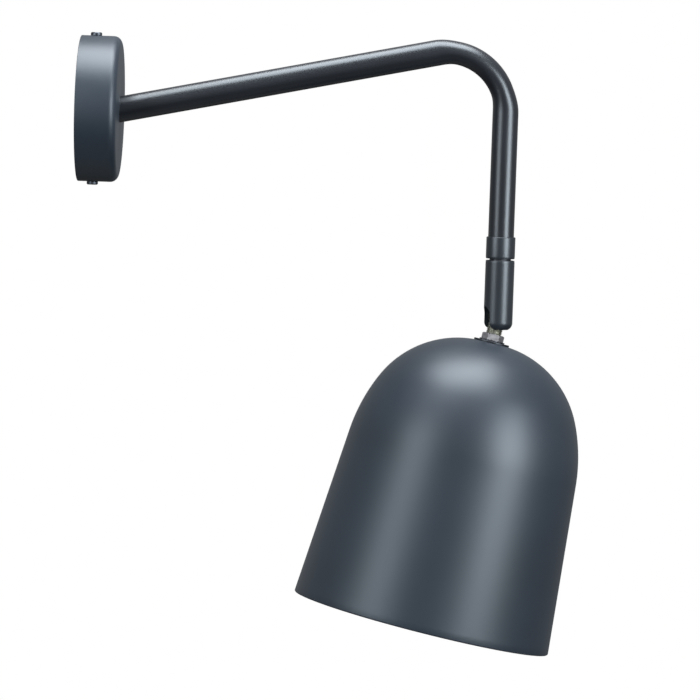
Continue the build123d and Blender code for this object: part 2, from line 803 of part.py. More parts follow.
# Insulating core: a plate for the terminals and a skirt round the lamp's screw sleeve.
with BuildPart() as holder_core:
    with BuildSketch(shade_level(core_top_depth)):
        Circle(core_radius)
    extrude(amount=core_plate_thickness)
    with BuildSketch(shade_level(socket_top_depth)):
        Circle(core_skirt_radius)
        Circle(socket_radius + socket_wall, mode=Mode.SUBTRACT)
    extrude(amount=core_skirt_length)
    with BuildSketch(shade_level(core_top_depth)):
        with GridLocations(holder_screw_spacing, 0, 2, 1):
            Circle(holder_screw_radius)
    extrude(amount=holder_screw_height, mode=Mode.SUBTRACT)
save(holder_core.part, "holder_core")

with BuildPart() as holder_screws:
    with BuildSketch(shade_level(core_top_depth)):
        with GridLocations(holder_screw_spacing, 0, 2, 1):
            Circle(holder_screw_radius)
    extrude(amount=holder_screw_height)
    with BuildSketch(shade_level(core_top_depth)):
        with GridLocations(holder_screw_spacing, 0, 2, 1):
            Rectangle(screw_slot_width, 2 * holder_screw_radius)
    extrude(amount=screw_slot_depth, mode=Mode.SUBTRACT)
save(holder_screws.part, "holder_screws")

screw_shell = washer(
    shade_level(socket_top_depth), socket_radius + socket_wall, socket_radius, core_skirt_length
)
save(screw_shell, "screw_shell")

# Sprung tongue: flat foot on the core, rising to meet the lamp's end contact.
with BuildPart() as centre_contact:
    with BuildSketch(shade_profile):
        with BuildLine():
            Polyline(
                (-contact_length / 2, -socket_top_depth - contact_thickness / 2),
                (-contact_length / 6, -socket_top_depth - contact_thickness / 2),
                (0, -socket_top_depth - contact_thickness / 2 - contact_rise),
                (contact_length / 4, -socket_top_depth - contact_thickness / 2 - contact_rise),
            )
        trace(line_width=contact_thickness)
    extrude(amount=contact_width / 2, both=True)
save(centre_contact.part, "centre_contact")

# Outer skirt: slides over the cap, tapers a little, and turns in to a lip that holds the core.
with BuildPart() as holder_shell:
    with BuildSketch(shade_profile):
        with BuildLine():
            Polyline(
                (holder_cap_radius, -shell_start),
                (holder_shell_radius, -shell_start),
                (holder_shell_radius, -holder_cap_end),
                (core_radius + holder_cap_wall, -shell_end),
                (holder_lip_radius, -shell_end),
                (holder_lip_radius, -shell_end + holder_lip_thickness),
                (core_radius, -shell_end + holder_lip_thickness),
                (core_radius, -holder_cap_end),
                (holder_cap_radius, -holder_cap_end),
                close=True,
            )
        make_face()
    revolve(axis=shade_axis)
save(holder_shell.part, "holder_shell")

# --- Flex in the shade --------------------------------------------------------------------

with BuildPart() as shade_lead:
    with BuildSketch(shade_level(lead_end_gap)):
        Circle(lead_radius)
    extrude(amount=stub_end_depth - lead_end_gap)
save(shade_lead.part, "shade_lead")

# Two cores fan out from the flex to the two terminal screws, trimmed level at both ends.
wire_run = core_top_depth - stub_end_depth
holder_wires = Part()
for side_sign in (1, -1):
    near_x = side_sign * core_wire_radius * 1.1
    far_x = side_sign * holder_screw_spacing / 2
    fan_out = shade_side * (far_x - near_x) + shade_down * wire_run
    with BuildPart() as core_wire:
        with BuildSketch(shade_level(stub_end_depth)):
            with Locations((near_x, 0)):
                Circle(core_wire_radius)
        extrude(amount=fan_out.length, dir=fan_out)
    holder_wires += core_wire.part
save(holder_wires, "holder_wires")

# --- Bulb ---------------------------------------------------------------------------------

insulator_start = bulb_top_depth + bulb_contact_height
with BuildPart() as bulb_cap:
    with BuildSketch(shade_profile):
        with BuildLine():
            Polyline(
                (0, -bulb_top_depth),
                (bulb_contact_radius, -bulb_top_depth),
                (bulb_contact_radius, -insulator_start),
                (bulb_thread_radius - bulb_cap_edge, -bulb_shell_depth),
                (bulb_thread_radius, -bulb_shell_depth - bulb_cap_edge),
                (bulb_thread_radius, -bulb_cap_end),
                (bulb_thread_radius - bulb_cap_wall, -bulb_cap_end),
                (bulb_thread_radius - bulb_cap_wall, -bulb_shell_depth - bulb_cap_floor),
                (0, -bulb_shell_depth - bulb_cap_floor),
                close=True,
            )
        make_face()
    revolve(axis=shade_axis)
save(bulb_cap.part, "bulb_cap")

# Pear-shaped envelope: a straight neck, a tangent curve and a round end, as a thin glass wall.
globe_centre = bulb_end_depth - bulb_radius
neck_start = bulb_cap_end - bulb_neck_overlap
neck_straight = bulb_cap_end + bulb_neck_straight
with BuildPart() as bulb_globe:
    with BuildSketch(shade_profile):
        with BuildLine():
            outer_end = CenterArc((0, -globe_centre), bulb_radius, -90, 90 + bulb_shoulder_angle)
            inner_end = CenterArc((0, -globe_centre), bulb_radius - bulb_glass, -90, 90 + bulb_shoulder_angle)
            neck_inside = bulb_neck_radius - bulb_glass
            Spline(outer_end @ 1, (bulb_neck_radius, -neck_straight), tangents=(outer_end % 1, (0, 1)))
            Spline(inner_end @ 1, (neck_inside, -neck_straight), tangents=(inner_end % 1, (0, 1)))
            Polyline(
                (bulb_neck_radius, -neck_straight),
                (bulb_neck_radius, -neck_start),
                (neck_inside, -neck_start),
                (neck_inside, -neck_straight),
            )
            Line(inner_end @ 0, outer_end @ 0)
        make_face()
    revolve(axis=shade_axis)
save(bulb_globe.part, "bulb_globe")
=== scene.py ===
# %% [markdown]
# # A wall lamp with a hanging, tilting shade
# A bent steel tube reaches out from the wall and turns straight down. A slotted knuckle hangs on its
# end, and in the slot sits a ball that carries a short threaded stub, a nut, two washers and a spun
# bell shade. The packed model holds every solid in its exact place. This lesson gives those solids
# their surfaces and finishes, and then lights them and sets up a camera to photograph them.

# %% The packed model is the frame that everything else is measured from
import json
import math

import bmesh
import bpy
import numpy as np
from mathutils import Matrix


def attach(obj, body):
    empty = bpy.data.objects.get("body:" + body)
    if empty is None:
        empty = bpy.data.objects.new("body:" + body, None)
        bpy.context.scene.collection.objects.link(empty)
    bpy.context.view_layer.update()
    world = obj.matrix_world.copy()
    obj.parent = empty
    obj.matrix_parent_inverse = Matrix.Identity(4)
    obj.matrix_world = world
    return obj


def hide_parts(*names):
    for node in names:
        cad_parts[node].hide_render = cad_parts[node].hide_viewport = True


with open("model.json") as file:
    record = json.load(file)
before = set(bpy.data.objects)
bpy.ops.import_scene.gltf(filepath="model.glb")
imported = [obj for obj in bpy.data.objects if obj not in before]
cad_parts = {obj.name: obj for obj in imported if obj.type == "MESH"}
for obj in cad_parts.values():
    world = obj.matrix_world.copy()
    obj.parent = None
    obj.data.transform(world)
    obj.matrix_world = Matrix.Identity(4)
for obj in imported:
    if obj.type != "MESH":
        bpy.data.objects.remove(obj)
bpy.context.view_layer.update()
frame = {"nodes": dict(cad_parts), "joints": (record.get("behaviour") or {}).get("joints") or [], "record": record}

# %% [markdown]
# ## Places and directions
# A shape is easiest to work out on its own axis: a shade is turned about the line that it hangs on,
# and a canopy about the line that leaves the wall. A Place holds such an axis and gives the real
# position of points that are worked out in millimetres round it. The pivot and its axis come from
# the packed record, so they can't drift away from the solids.

# %% Places: where each group of pieces has its own axis
MM = 0.001                 # sizes below are in millimetres, and Blender works in metres
REST_TILT = math.radians(12.7)


def unit(vector):
    """The vector divided by its own length."""
    vector = np.array(vector, float)
    return vector / np.linalg.norm(vector)


class Place:
    """An axis on the lamp with two directions square to it."""

    def __init__(self, origin, along, side):
        self.origin = np.array(origin, float)
        self.along = unit(along)
        self.side = unit(side)
        self.third = np.cross(self.along, self.side)

    def points(self, x, y, z):
        """Origin plus x steps to the side, y steps the third way and z steps along the axis."""
        x, y, z = np.broadcast_arrays(x, y, z)
        offset = x[..., None] * self.side + y[..., None] * self.third + z[..., None] * self.along
        return self.origin + MM * offset


tilt_joint = next(joint for joint in frame["joints"] if joint["name"] == "tilt")
pivot = np.array(tilt_joint["pos_m"])
up = np.array([0.0, 0.0, 1.0])
away = unit(np.cross(tilt_joint["axis"], up))
shade_side = away * math.cos(REST_TILT) - up * math.sin(REST_TILT)
shade_down = -(away * math.sin(REST_TILT) + up * math.cos(REST_TILT))

room = Place((0, 0, 0), along=up, side=(1, 0, 0))          # x, y and z are the lamp's own
wall = Place((0, 0, 0), along=(1, 0, 0), side=(0, 1, 0))   # the axis leaves the wall
rod = Place(pivot, along=up, side=away)                    # heights above the tilt pivot
hang = Place(pivot, along=shade_down, side=shade_side)     # depths below it, along the shade
print("pivot in mm", (1000 * pivot).round(2), "shade hangs along", shade_down.round(4))

# %% [markdown]
# ## Grids of points
# Nearly every piece here is turned, drawn through a die or cut with a thread, so its surface is a
# function of two numbers: one round the axis and one along an outline. Worked out as a whole grid at
# once, it stays smooth at any size, and a closed outline makes a closed solid wall by itself.
# Blender's Spin or Screw would do the same by hand, but a formula is easier to read and to change.

# %% From grids of points to one mesh
node_slot = {row["node"]: row["material_slot"] for row in frame["record"]["subparts"]}
bodies = frame["record"]["behaviour"]["bodies"]
node_body = {node: body for body, nodes in bodies.items() for node in nodes}
WELD = 1e-6
finishes = {}
# the tube, collar and knuckle take darker copies of the coat, which carry painted shade
own_finish = {}            # nodes whose finish differs a little from the rest of their slot


def finish_of(node):
    """The finish of a node's slot, or its own where it has one."""
    return finishes[own_finish.get(node, node_slot[node])]


def grid_faces(rows, columns, wrap_rows, wrap_columns):
    """Four corners of each cell of a grid; a wrapped direction joins its end to its start."""
    row = np.arange(rows if wrap_rows else rows - 1)[:, None]
    column = np.arange(columns if wrap_columns else columns - 1)[None, :]
    next_row = (row + 1) % rows
    next_column = (column + 1) % columns
    corners = (
        row * columns + column,
        row * columns + next_column,
        next_row * columns + next_column,
        next_row * columns + column,
    )
    return np.stack(np.broadcast_arrays(*corners), axis=-1).reshape(-1, 4)


def weld(mesh, flatten=0.0):
    """Joins points that share a place, drops cells with no area and turns the faces outwards."""
    work = bmesh.new()
    work.from_mesh(mesh)
    bmesh.ops.remove_doubles(work, verts=work.verts, dist=WELD)
    bmesh.ops.dissolve_degenerate(work, edges=work.edges, dist=WELD)
    if flatten:
        bmesh.ops.dissolve_limit(work, angle_limit=flatten, verts=work.verts, edges=work.edges)
    bmesh.ops.recalc_face_normals(work, faces=work.faces)
    work.to_mesh(mesh)
    work.free()


def shade_smooth(mesh, crease):
    """Smooth everywhere except along edges that turn by more than the crease angle, in degrees."""
    mesh.polygons.foreach_set("use_smooth", np.ones(len(mesh.polygons), bool))
    mesh.set_sharp_from_angle(angle=math.radians(crease))


def place_piece(mesh, name, node, round_edge, crease):
    """Puts a mesh into the scene where it stands for a CAD node, with that node's body and finish."""
    piece = bpy.data.objects.new(name, mesh)
    bpy.context.scene.collection.objects.link(piece)
    shade_smooth(mesh, crease)
    if round_edge:
        bevel = piece.modifiers.new("rounded edges", "BEVEL")
        bevel.width = round_edge * MM
        bevel.segments = 2
        bevel.limit_method = "ANGLE"
        bevel.angle_limit = math.radians(crease)
        bevel.harden_normals = True
    mesh.materials.clear()
    mesh.materials.append(finish_of(node))
    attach(piece, node_body[node])
    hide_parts(node)
    print(name, "stands for", node, "with", len(mesh.polygons), "faces")


def surface(name, node, grids, round_edge=0.0, crease=32):
    """One piece from grids, each given as (points, wrap rows, wrap columns)."""
    shapes = [points.shape[:2] for points, _, _ in grids]
    starts = np.cumsum([0] + [rows * columns for rows, columns in shapes])
    corners = [
        grid_faces(rows, columns, wrap_rows, wrap_columns) + start
        for (rows, columns), (_, wrap_rows, wrap_columns), start in zip(shapes, grids, starts)
    ]
    points = np.concatenate([points.reshape(-1, 3) for points, _, _ in grids])
    faces = np.concatenate(corners)
    mesh = bpy.data.meshes.new(name)
    mesh.vertices.add(len(points))
    mesh.vertices.foreach_set("co", points.ravel())
    mesh.loops.add(faces.size)
    mesh.loops.foreach_set("vertex_index", faces.ravel())
    mesh.polygons.add(len(faces))
    mesh.polygons.foreach_set("loop_start", np.arange(0, faces.size, 4))
    mesh.update(calc_edges=True)
    weld(mesh)
    place_piece(mesh, name, node, round_edge, crease)


print("slots", sorted(set(node_slot.values())))

# %% [markdown]
# ## Outlines
# A turner's drawing is half a section: a few corners, each with a small round, because nothing made
# of metal keeps a knife edge and a rounded edge is what catches the light. The helper below rounds
# the corners of such a drawing. A bevel modifier could do it afterwards, but here each corner gets
# its own radius.

# %% Half sections and the surfaces turned from them
def rounded(corners, steps=5):
    """Closed outline through (radius, height, round) corners; each arc is tangent to both sides."""
    runs = []
    for index, (x, y, radius) in enumerate(corners):
        here = np.array([x, y], float)
        if not radius:
            runs.append(here[None])
            continue
        before = unit(np.array(corners[index - 1][:2]) - here)
        after = unit(np.array(corners[(index + 1) % len(corners)][:2]) - here)
        half = 0.5 * math.acos(np.clip(before @ after, -1, 1))
        centre = here + unit(before + after) * radius / math.sin(half)
        first = here + before * radius / math.tan(half) - centre
        last = here + after * radius / math.tan(half) - centre
        share = np.linspace(0, 1, steps)[:, None]
        turn = math.pi - 2 * half
        swung = np.sin((1 - share) * turn) * first + np.sin(share * turn) * last
        runs.append(centre + swung / math.sin(turn))
    return np.concatenate(runs)


def around(columns):
    """Angles of a full turn, as one row of a grid."""
    return np.linspace(0, 2 * math.pi, columns, endpoint=False)[None, :]


def turned(place, outline, columns=96, flute=None):
    """Outline carried round the axis: x = radius cos(angle), y = radius sin(angle), z = height."""
    angle = around(columns)
    radius = outline[:, :1] + 0 * angle
    if flute is not None:
        radius = radius + flute(angle, outline[:, :1], outline[:, 1:])
    grid = place.points(radius * np.cos(angle), radius * np.sin(angle), outline[:, 1:])
    return grid, True, True


def ring(place, outer, inner, start, end, edge):
    """Plain washer: a rectangle turned round the axis, with rounded edges."""
    outer_corners = [(outer, start, edge), (outer, end, edge)]
    inner_corners = [(inner, end, edge / 2), (inner, start, edge / 2)]
    corners = outer_corners + inner_corners
    return turned(place, rounded(corners, steps=4))


small_square = [(1, 0, 0.2), (1, 1, 0.2), (0, 1, 0.2), (0, 0, 0.2)]
print("a square with four rounds has", len(rounded(small_square)), "points")

# %% [markdown]
# ## Shader sums as plain sums
# A finish is mostly arithmetic: a base value plus a little noise, or one colour where a mask is high
# and another where it is low. Wiring that by hand hides the sum, so a small class lets sockets be
# added and multiplied like numbers, and one method makes any other node.

# %% Sockets that can be added and multiplied
class Link:
    """A node's output; a sum or product of it adds a Math node to the same finish."""

    def __init__(self, finish, output):
        self.finish = finish
        self.output = output

    def math(self, operation, first, second):
        return self.finish.node("ShaderNodeMath", {"operation": operation}, {0: first, 1: second})

    def __add__(self, other):
        return self.math("ADD", self, other)

    def __radd__(self, other):
        return self.math("ADD", other, self)

    def __sub__(self, other):
        return self.math("SUBTRACT", self, other)

    def __rsub__(self, other):
        return self.math("SUBTRACT", other, self)

    def __mul__(self, other):
        return self.math("MULTIPLY", self, other)

    def __rmul__(self, other):
        return self.math("MULTIPLY", other, self)


class Finish:
    """The node tree of a new material, or of the world where one is given."""

    def __init__(self, name, owner=None):
        self.material = owner or bpy.data.materials.new(name)
        self.material.use_nodes = True
        self.tree = self.material.node_tree
        self.tree.nodes.clear()
        self.place = self.node("ShaderNodeTexCoord", out="Object")

    def node(self, kind, settings=None, values=None, out=0):
        """Any node: its settings first, then numbers or links for its sockets. Gives one output."""
        made = self.tree.nodes.new(kind)
        for key, value in (settings or {}).items():
            if key == "stops":
                self.set_stops(made.color_ramp, value)
            else:
                setattr(made, key, value)
        for key, value in (values or {}).items():
            if isinstance(value, Link):
                self.tree.links.new(value.output, made.inputs[key])
            else:
                made.inputs[key].default_value = value
        return Link(self, made.outputs[out]) if made.outputs else None

    def set_stops(self, ramp, stops):
        """A ramp starts with two stops; the rest are added."""
        while len(ramp.elements) < len(stops):
            ramp.elements.new(0.5)
        for element, (position, level) in zip(ramp.elements, stops):
            element.position = position
            element.color = (level, level, level, 1)

    def noise(self, scale, detail=2.0, roughness=0.5, place=None):
        """Cloudy values from 0 to 1, with so many lumps to the metre."""
        values = {"Vector": place or self.place, "Scale": scale}
        values.update(Detail=detail, Roughness=roughness)
        return self.node("ShaderNodeTexNoise", {"noise_dimensions": "3D"}, values, out="Fac")

    def stretched(self, scale):
        """Object coordinates squeezed along each axis, so that a noise on them is drawn out."""
        return self.node("ShaderNodeMapping", None, {"Vector": self.place, "Scale": scale}, out="Vector")

    def ramp(self, value, *stops):
        """The value passed through a curve of (position, level) stops."""
        return self.node("ShaderNodeValToRGB", {"stops": stops}, {"Fac": value}, out="Color")

    def blend(self, mask, low, high):
        """The low colour where the mask is 0 and the high one where it is 1."""
        values = {0: mask, 6: self.colour(low), 7: self.colour(high)}
        return self.node("ShaderNodeMix", {"data_type": "RGBA"}, values, out=2)

    def colour(self, value):
        return value if isinstance(value, Link) else (*value, 1.0)

    def bump(self, height, depth):
        """Small relief: the height, from 0 to 1, is so many millimetres deep."""
        return self.node("ShaderNodeBump", None, {"Height": height, "Distance": depth * MM})

    def shader(self, **sockets):
        """The Principled shader; underscores in the names stand for spaces."""
        values = {key.replace("_", " "): value for key, value in sockets.items()}
        if "Base Color" in values:
            values["Base Color"] = self.colour(values["Base Color"])
        made = self.node("ShaderNodeBsdfPrincipled", None, values)
        self.node("ShaderNodeOutputMaterial", None, {"Surface": made})
        return self.material


sum_names = [name.strip("_") for name in vars(Link) if name.startswith("__") and name != "__init__"]
print("sums of sockets:", sorted(name for name in sum_names if name.endswith(("add", "sub", "mul"))))

# %% [markdown]
# ## Powder coat
# The arm, collar, knuckle, canopy and shade are coated with a dark blue-grey powder that is baked on.
# It is satin, so a lamp shows in it as a soft band, and under a glass it has a fine peel like the skin
# of an orange. The tube, the collar and the knuckle get darker, less blue and glossier copies of the
# same coat. The darker colour is painted shade for their dark undersides, and the gloss is their own.
# A photograph of it could be wrapped round, but noise in three directions has no seams and costs
# nothing. The colour hardly changes: the relief and the gloss do the work.

# %% The painted finishes
SHEEN = (0.80, 0.91, 1.0, 1.0)      # the tint of the coat's own reflections
SHADE_PAINT = (0.010, 0.0155, 0.024)
# the next two colours are darker, less blue copies of the shade's paint: painted shade for the dark undersides of
# the collar, the knuckle and the tube
JOINT_SHADED_PAINT = (0.009, 0.012, 0.016)
TUBE_SHADED_PAINT = (0.007, 0.008, 0.011)
DEEPER = 0.8                        # how much darker the coat is where it lies thicker


def powder_coat(name, paint, gloss):
    """Dark paint: gloss varies slowly, and two sizes of peel give the relief."""
    coat = Finish(name)
    drift = coat.noise(14, detail=3)
    peel = coat.noise(520, detail=2)
    grain = coat.noise(2600, detail=1)
    deep = tuple(DEEPER * level for level in paint)
    colour = coat.blend(coat.ramp(drift, (0.35, 0.0), (0.65, 1.0)), deep, paint)
    relief = 0.9 * peel + 0.1 * grain
    return coat.shader(
        Base_Color=colour,
        Roughness=gloss + 0.05 * drift + 0.03 * peel,
        Specular_Tint=SHEEN,
        Normal=coat.bump(relief, 0.010),
    )


finishes["paint"] = powder_coat("satin powder coat", SHADE_PAINT, 0.40)
# the joint and tube coats are darker than the shade's as painted shade, and glossier as their own finish
finishes["joint_shaded_paint"] = powder_coat("joint powder coat with painted shade", JOINT_SHADED_PAINT, 0.32)
finishes["tube_shaded_paint"] = powder_coat("tube powder coat with painted shade", TUBE_SHADED_PAINT, 0.29)
own_finish.update(arm_tube="tube_shaded_paint", swivel_collar="joint_shaded_paint", knuckle_body="joint_shaded_paint")
print("paints ready:", len(finishes))

# %% [markdown]
# ## Plated and blackened steel
# The nuts and washers are zinc plated: silvery and a little blue, with cloudy patches where the
# plating took unevenly. The stub and the ball are passivated, which leaves an olive film that drifts
# towards brown. The flat washer, bush and screws are blackened. All are metal, so the
# base colour is the tint of their reflections.

# %% Metal finishes
def plated(name, pale, dull, gloss, rough, patch=420):
    """Metal with cloudy patches, fine scratches drawn out along the height, and specks in the gloss."""
    metal = Finish(name)
    cloud = metal.noise(patch, detail=4, roughness=0.6)
    scratch = metal.noise(1.0, detail=3, place=metal.stretched((2600, 2600, 320)))
    mask = metal.ramp(cloud, (0.32, 0.0), (0.68, 1.0))
    return metal.shader(
        Base_Color=metal.blend(mask, dull, pale),
        Metallic=1.0,
        Roughness=gloss + rough * cloud + 0.08 * scratch,
        Normal=metal.bump(0.6 * scratch + 0.4 * cloud, 0.006),
    )


plating = {                # slot: name, pale colour, dull colour, gloss, how much the patches roughen
    "zinc": ("zinc plate", (0.41, 0.415, 0.445), (0.24, 0.243, 0.265), 0.26, 0.22),
    "spring_steel": ("oiled spring steel", (0.34, 0.34, 0.36), (0.22, 0.22, 0.24), 0.25, 0.15),
    "dark_washer": ("blackened steel", (0.045, 0.050, 0.058), (0.020, 0.023, 0.028), 0.34, 0.2),
    "dark_screw": ("black zinc", (0.075, 0.085, 0.100), (0.035, 0.042, 0.052), 0.30, 0.2),
    "brass": ("plain brass", (0.72, 0.55, 0.26), (0.52, 0.38, 0.17), 0.20, 0.2),
    "bulb_metal": ("nickelled cap", (0.72, 0.73, 0.74), (0.56, 0.57, 0.59), 0.18, 0.2),
}
for slot_name, values in plating.items():
    finishes[slot_name] = plated(*values)
finishes["yellow_passivated"] = plated(
    "olive passivated steel", (0.30, 0.31, 0.28), (0.10, 0.105, 0.060), 0.32, 0.24, patch=300
)
print("finishes so far:", len(finishes))

# %% [markdown]
# ## Plastics, rubber, ceramic and glass
# The lamp holder is black moulded plastic with the faint grain of its mould. The connector block and
# the thrust washer are natural nylon, which is milky. The core that carries the live parts is glazed
# ceramic. The bulb is frosted inside, so it glows white instead of showing what is behind it: a
# pale, softly scattering shell is closer to it than clear glass.

# %% Moulded, glazed and frosted finishes
def moulded(name, colour, worn, rough, grain_depth, grain, **extra):
    """Plastic or rubber: mould grain in the relief, and wear that lifts the colour in slow patches."""
    plastic = Finish(name)
    wear = plastic.noise(90, detail=4)
    skin = plastic.noise(grain, detail=2)
    mask = plastic.ramp(wear, (0.40, 0.0), (0.75, 1.0))
    return plastic.shader(
        Base_Color=plastic.blend(mask, colour, worn),
        Roughness=rough + 0.12 * wear + 0.05 * skin,
        Normal=plastic.bump(skin, grain_depth),
        **extra,
    )


moulding = {               # slot: name, colour, worn colour, roughness, grain in mm, lumps to the metre
    "holder_plastic": ("black plastic", (0.016, 0.016, 0.017), (0.028, 0.028, 0.029), 0.34, 0.010, 2600),
    "nylon": ("natural nylon", (0.70, 0.69, 0.62), (0.78, 0.77, 0.71), 0.38, 0.008, 2600),
    "rubber": ("black rubber", (0.020, 0.020, 0.021), (0.042, 0.042, 0.043), 0.62, 0.020, 2600),
    "flex": ("sheathed flex", (0.022, 0.022, 0.023), (0.040, 0.040, 0.041), 0.46, 0.012, 1500),
    "core_wire": ("wire insulation", (0.05, 0.12, 0.36), (0.08, 0.17, 0.44), 0.36, 0.006, 2600),
    "holder_ceramic": ("glazed ceramic", (0.74, 0.73, 0.68), (0.80, 0.79, 0.75), 0.16, 0.010, 500),
}
for slot_name, values in moulding.items():
    finishes[slot_name] = moulded(*values)
finishes["bulb_glass"] = moulded(
    "frosted glass", (0.86, 0.86, 0.84), (0.90, 0.90, 0.88), 0.34, 0.006, 3800, Transmission_Weight=0.25
)
print("finishes ready:", len(finishes))

# %% [markdown]
# ## Dressing the packed solids
# The packed solids arrive plain. Some of them, such as the flex, the springs and the pins inside the
# knuckle, are already the right shape and only need their finish, so every solid gets the finish of
# its slot first. A piece that is modelled again below takes the same finish and hides its solid.
# Painting each face on its own would allow more, but a whole solid here is always of one stuff.

# %% Every packed node starts with the finish of its own slot
for node_name, node_object in frame["nodes"].items():
    node_object.data.materials.clear()
    node_object.data.materials.append(finish_of(node_name))
print("dressed", len(frame["nodes"]), "nodes")

# %% [markdown]
# ## The shade
# A disc of steel is spun over a form: flat where the washer sits, a round shoulder, a slower curve,
# then a straight skirt that opens a little, with its rim folded inwards so that it is safe and
# stiff. The outline is two arcs and a line that meet without a corner. Each point also knows its
# slope, so the inside is the same outline moved inwards by the thickness of the sheet. A Solidify
# modifier would do nearly the same, but it can't fold the rim.

# %% The spun shade
SHADE_TOP = 17.2
SHADE_RIM = 195.9
SHEET = 0.8
LAND_RADIUS = 11.5
HOLE_RADIUS = 5.2
SKIRT_FLARE = math.radians(4.7)
SHOULDER = (math.radians(4.9), math.radians(65.3), 62.1)
WAIST = (math.radians(65.3), math.radians(90) - SKIRT_FLARE, 110.3)
HEM_HEIGHT = 4.0
HEM_EDGE = 0.3             # the round of the folded sheet's own edge


def slope_arc(start, first_slope, last_slope, radius, steps):
    """Arc whose slope below level grows evenly: centre + radius (sin slope, -cos slope)."""
    slope = np.linspace(first_slope, last_slope, steps)
    centre = start + radius * np.array([-math.sin(first_slope), math.cos(first_slope)])
    return centre + radius * np.stack([np.sin(slope), -np.cos(slope)], axis=1), slope


land = np.array([[HOLE_RADIUS, SHADE_TOP], [HOLE_RADIUS + 3, SHADE_TOP], [LAND_RADIUS, SHADE_TOP]])
shoulder, shoulder_slope = slope_arc(land[-1], *SHOULDER, steps=44)
waist, waist_slope = slope_arc(shoulder[-1], *WAIST, steps=22)
skirt_depth = np.linspace(waist[-1, 1], SHADE_RIM - SHEET, 26)[1:]
skirt_radius = waist[-1, 0] + (skirt_depth - waist[-1, 1]) * math.tan(SKIRT_FLARE)
skirt = np.stack([skirt_radius, skirt_depth], axis=1)
outside = np.concatenate([land, shoulder, waist[1:], skirt])
slopes = np.concatenate([[0, 0, 0], shoulder_slope, waist_slope[1:], np.full(len(skirt), WAIST[1])])
inside = outside - SHEET * np.stack([np.sin(slopes), -np.cos(slopes)], axis=1)

rim_angle = np.linspace(0, math.pi, 9)[1:-1]
rim_centre = np.array([skirt_radius[-1] - SHEET, SHADE_RIM - SHEET])
rim_fold = rim_centre + SHEET * np.stack([np.cos(rim_angle), np.sin(rim_angle)], axis=1)
hem_lean = HEM_HEIGHT * math.tan(SKIRT_FLARE)
hem_foot = np.array([rim_centre[0] - SHEET, SHADE_RIM - SHEET])
hem = np.array([
    hem_foot,
    hem_foot - [hem_lean, HEM_HEIGHT - HEM_EDGE],
    hem_foot - [hem_lean - 0.1, HEM_HEIGHT - 0.05],
    hem_foot - [hem_lean - 0.35, HEM_HEIGHT],
])
inside_kept = inside[inside[:, 1] < SHADE_RIM - SHEET - HEM_HEIGHT]
shade_outline = np.concatenate([outside, rim_fold, hem, inside_kept[::-1]])
surface("spun_shade", "shade", [turned(hang, shade_outline, columns=192)], crease=40)
print("rim radius in mm", round(float(skirt_radius[-1]), 2))

# %% [markdown]
# ## The arm
# The arm is one tube drawn round a former. Drawing squeezes the tube where it bends: it grows thinner
# in the plane of the bend and a little wider across it, which the photograph shows as a slimmer elbow.
# So the section is an oval whose two radii change along the bend. First comes the line in its middle:
# a straight run, an arc and a straight drop, each with as many points as it needs to look smooth.

# %% The tube's centre line
ARM_RISE = math.radians(12.0)
CANOPY_DEPTH = 25.0
ROD_DISTANCE = 263.0
TUBE_RADIUS = 8.0
TUBE_WALL = 1.2
BEND_RADIUS = 36.5
BEND_THIN = 7.1
BEND_WIDE = 8.5
BEND_BLEND = 0.22
ROD_END = 40.3             # the tube's lower end, above the tilt pivot


def smooth_step(value):
    """0 before 0 and 1 after 1, with no kink at either: 3 v squared minus 2 v cubed."""
    value = np.clip(value, 0, 1)
    return value * value * (3 - 2 * value)


arm_direction = np.array([math.cos(ARM_RISE), math.sin(ARM_RISE)])
arm_foot = np.array([CANOPY_DEPTH, 0.0])
corner = np.array([ROD_DISTANCE, (ROD_DISTANCE - CANOPY_DEPTH) * math.tan(ARM_RISE)])
bend_turn = math.radians(90) + ARM_RISE
bend_reach = BEND_RADIUS * math.tan(bend_turn / 2)
straight_length = np.linalg.norm(corner - arm_foot) - bend_reach
rod_low = float(1000 * pivot[2]) + ROD_END

straight_run = np.linspace(0, straight_length, 30)
straight = arm_foot + straight_run[:, None] * arm_direction
bend_share = np.linspace(0, 1, 57)[1:]
heading = ARM_RISE - bend_share * bend_turn
bend_centre = straight[-1] + BEND_RADIUS * np.array([math.sin(ARM_RISE), -math.cos(ARM_RISE)])
bend = bend_centre + BEND_RADIUS * np.stack([-np.sin(heading), np.cos(heading)], axis=1)
drop_height = np.linspace(bend[-1, 1], rod_low, 14)[1:]
drop = np.stack([np.full(len(drop_height), ROD_DISTANCE), drop_height], axis=1)

path = np.concatenate([straight, bend, drop])
straight_heading, drop_heading = np.full(len(straight), ARM_RISE), np.full(len(drop), heading[-1])
path_heading = np.concatenate([straight_heading, heading, drop_heading])
squeeze = smooth_step(bend_share / BEND_BLEND) * smooth_step((1 - bend_share) / BEND_BLEND)
squeeze = np.concatenate([np.zeros(len(straight)), squeeze, np.zeros(len(drop))])
drop_length = float(bend[-1, 1] - rod_low)
print("straight in mm", round(float(straight_length), 1), "and drop", round(drop_length, 1))

# %% [markdown]
# ## The tube round that line
# A curve with a round bevel would give a tube in one step, but its section can't turn oval in the bend
# alone. Here each point of the line carries its own oval, and the first one slides along the arm until
# it lies flat on the canopy's face. A second, smaller tube inside gives the wall, open at both ends.

# %% The tube's surface
def tube_grid(shrink):
    """Centre line plus cos(angle) of the thin radius outwards and sin(angle) of the wide one across."""
    angle = around(72)
    thin = TUBE_RADIUS + (BEND_THIN - TUBE_RADIUS) * squeeze - shrink
    wide = TUBE_RADIUS + (BEND_WIDE - TUBE_RADIUS) * squeeze - shrink
    outwards = thin[:, None] * np.cos(angle)
    x = path[:, :1] - np.sin(path_heading)[:, None] * outwards
    z = path[:, 1:] + np.cos(path_heading)[:, None] * outwards
    overhang = x[0] - CANOPY_DEPTH
    x[0] -= overhang
    z[0] -= overhang * math.tan(ARM_RISE)
    return x, wide[:, None] * np.sin(angle), z


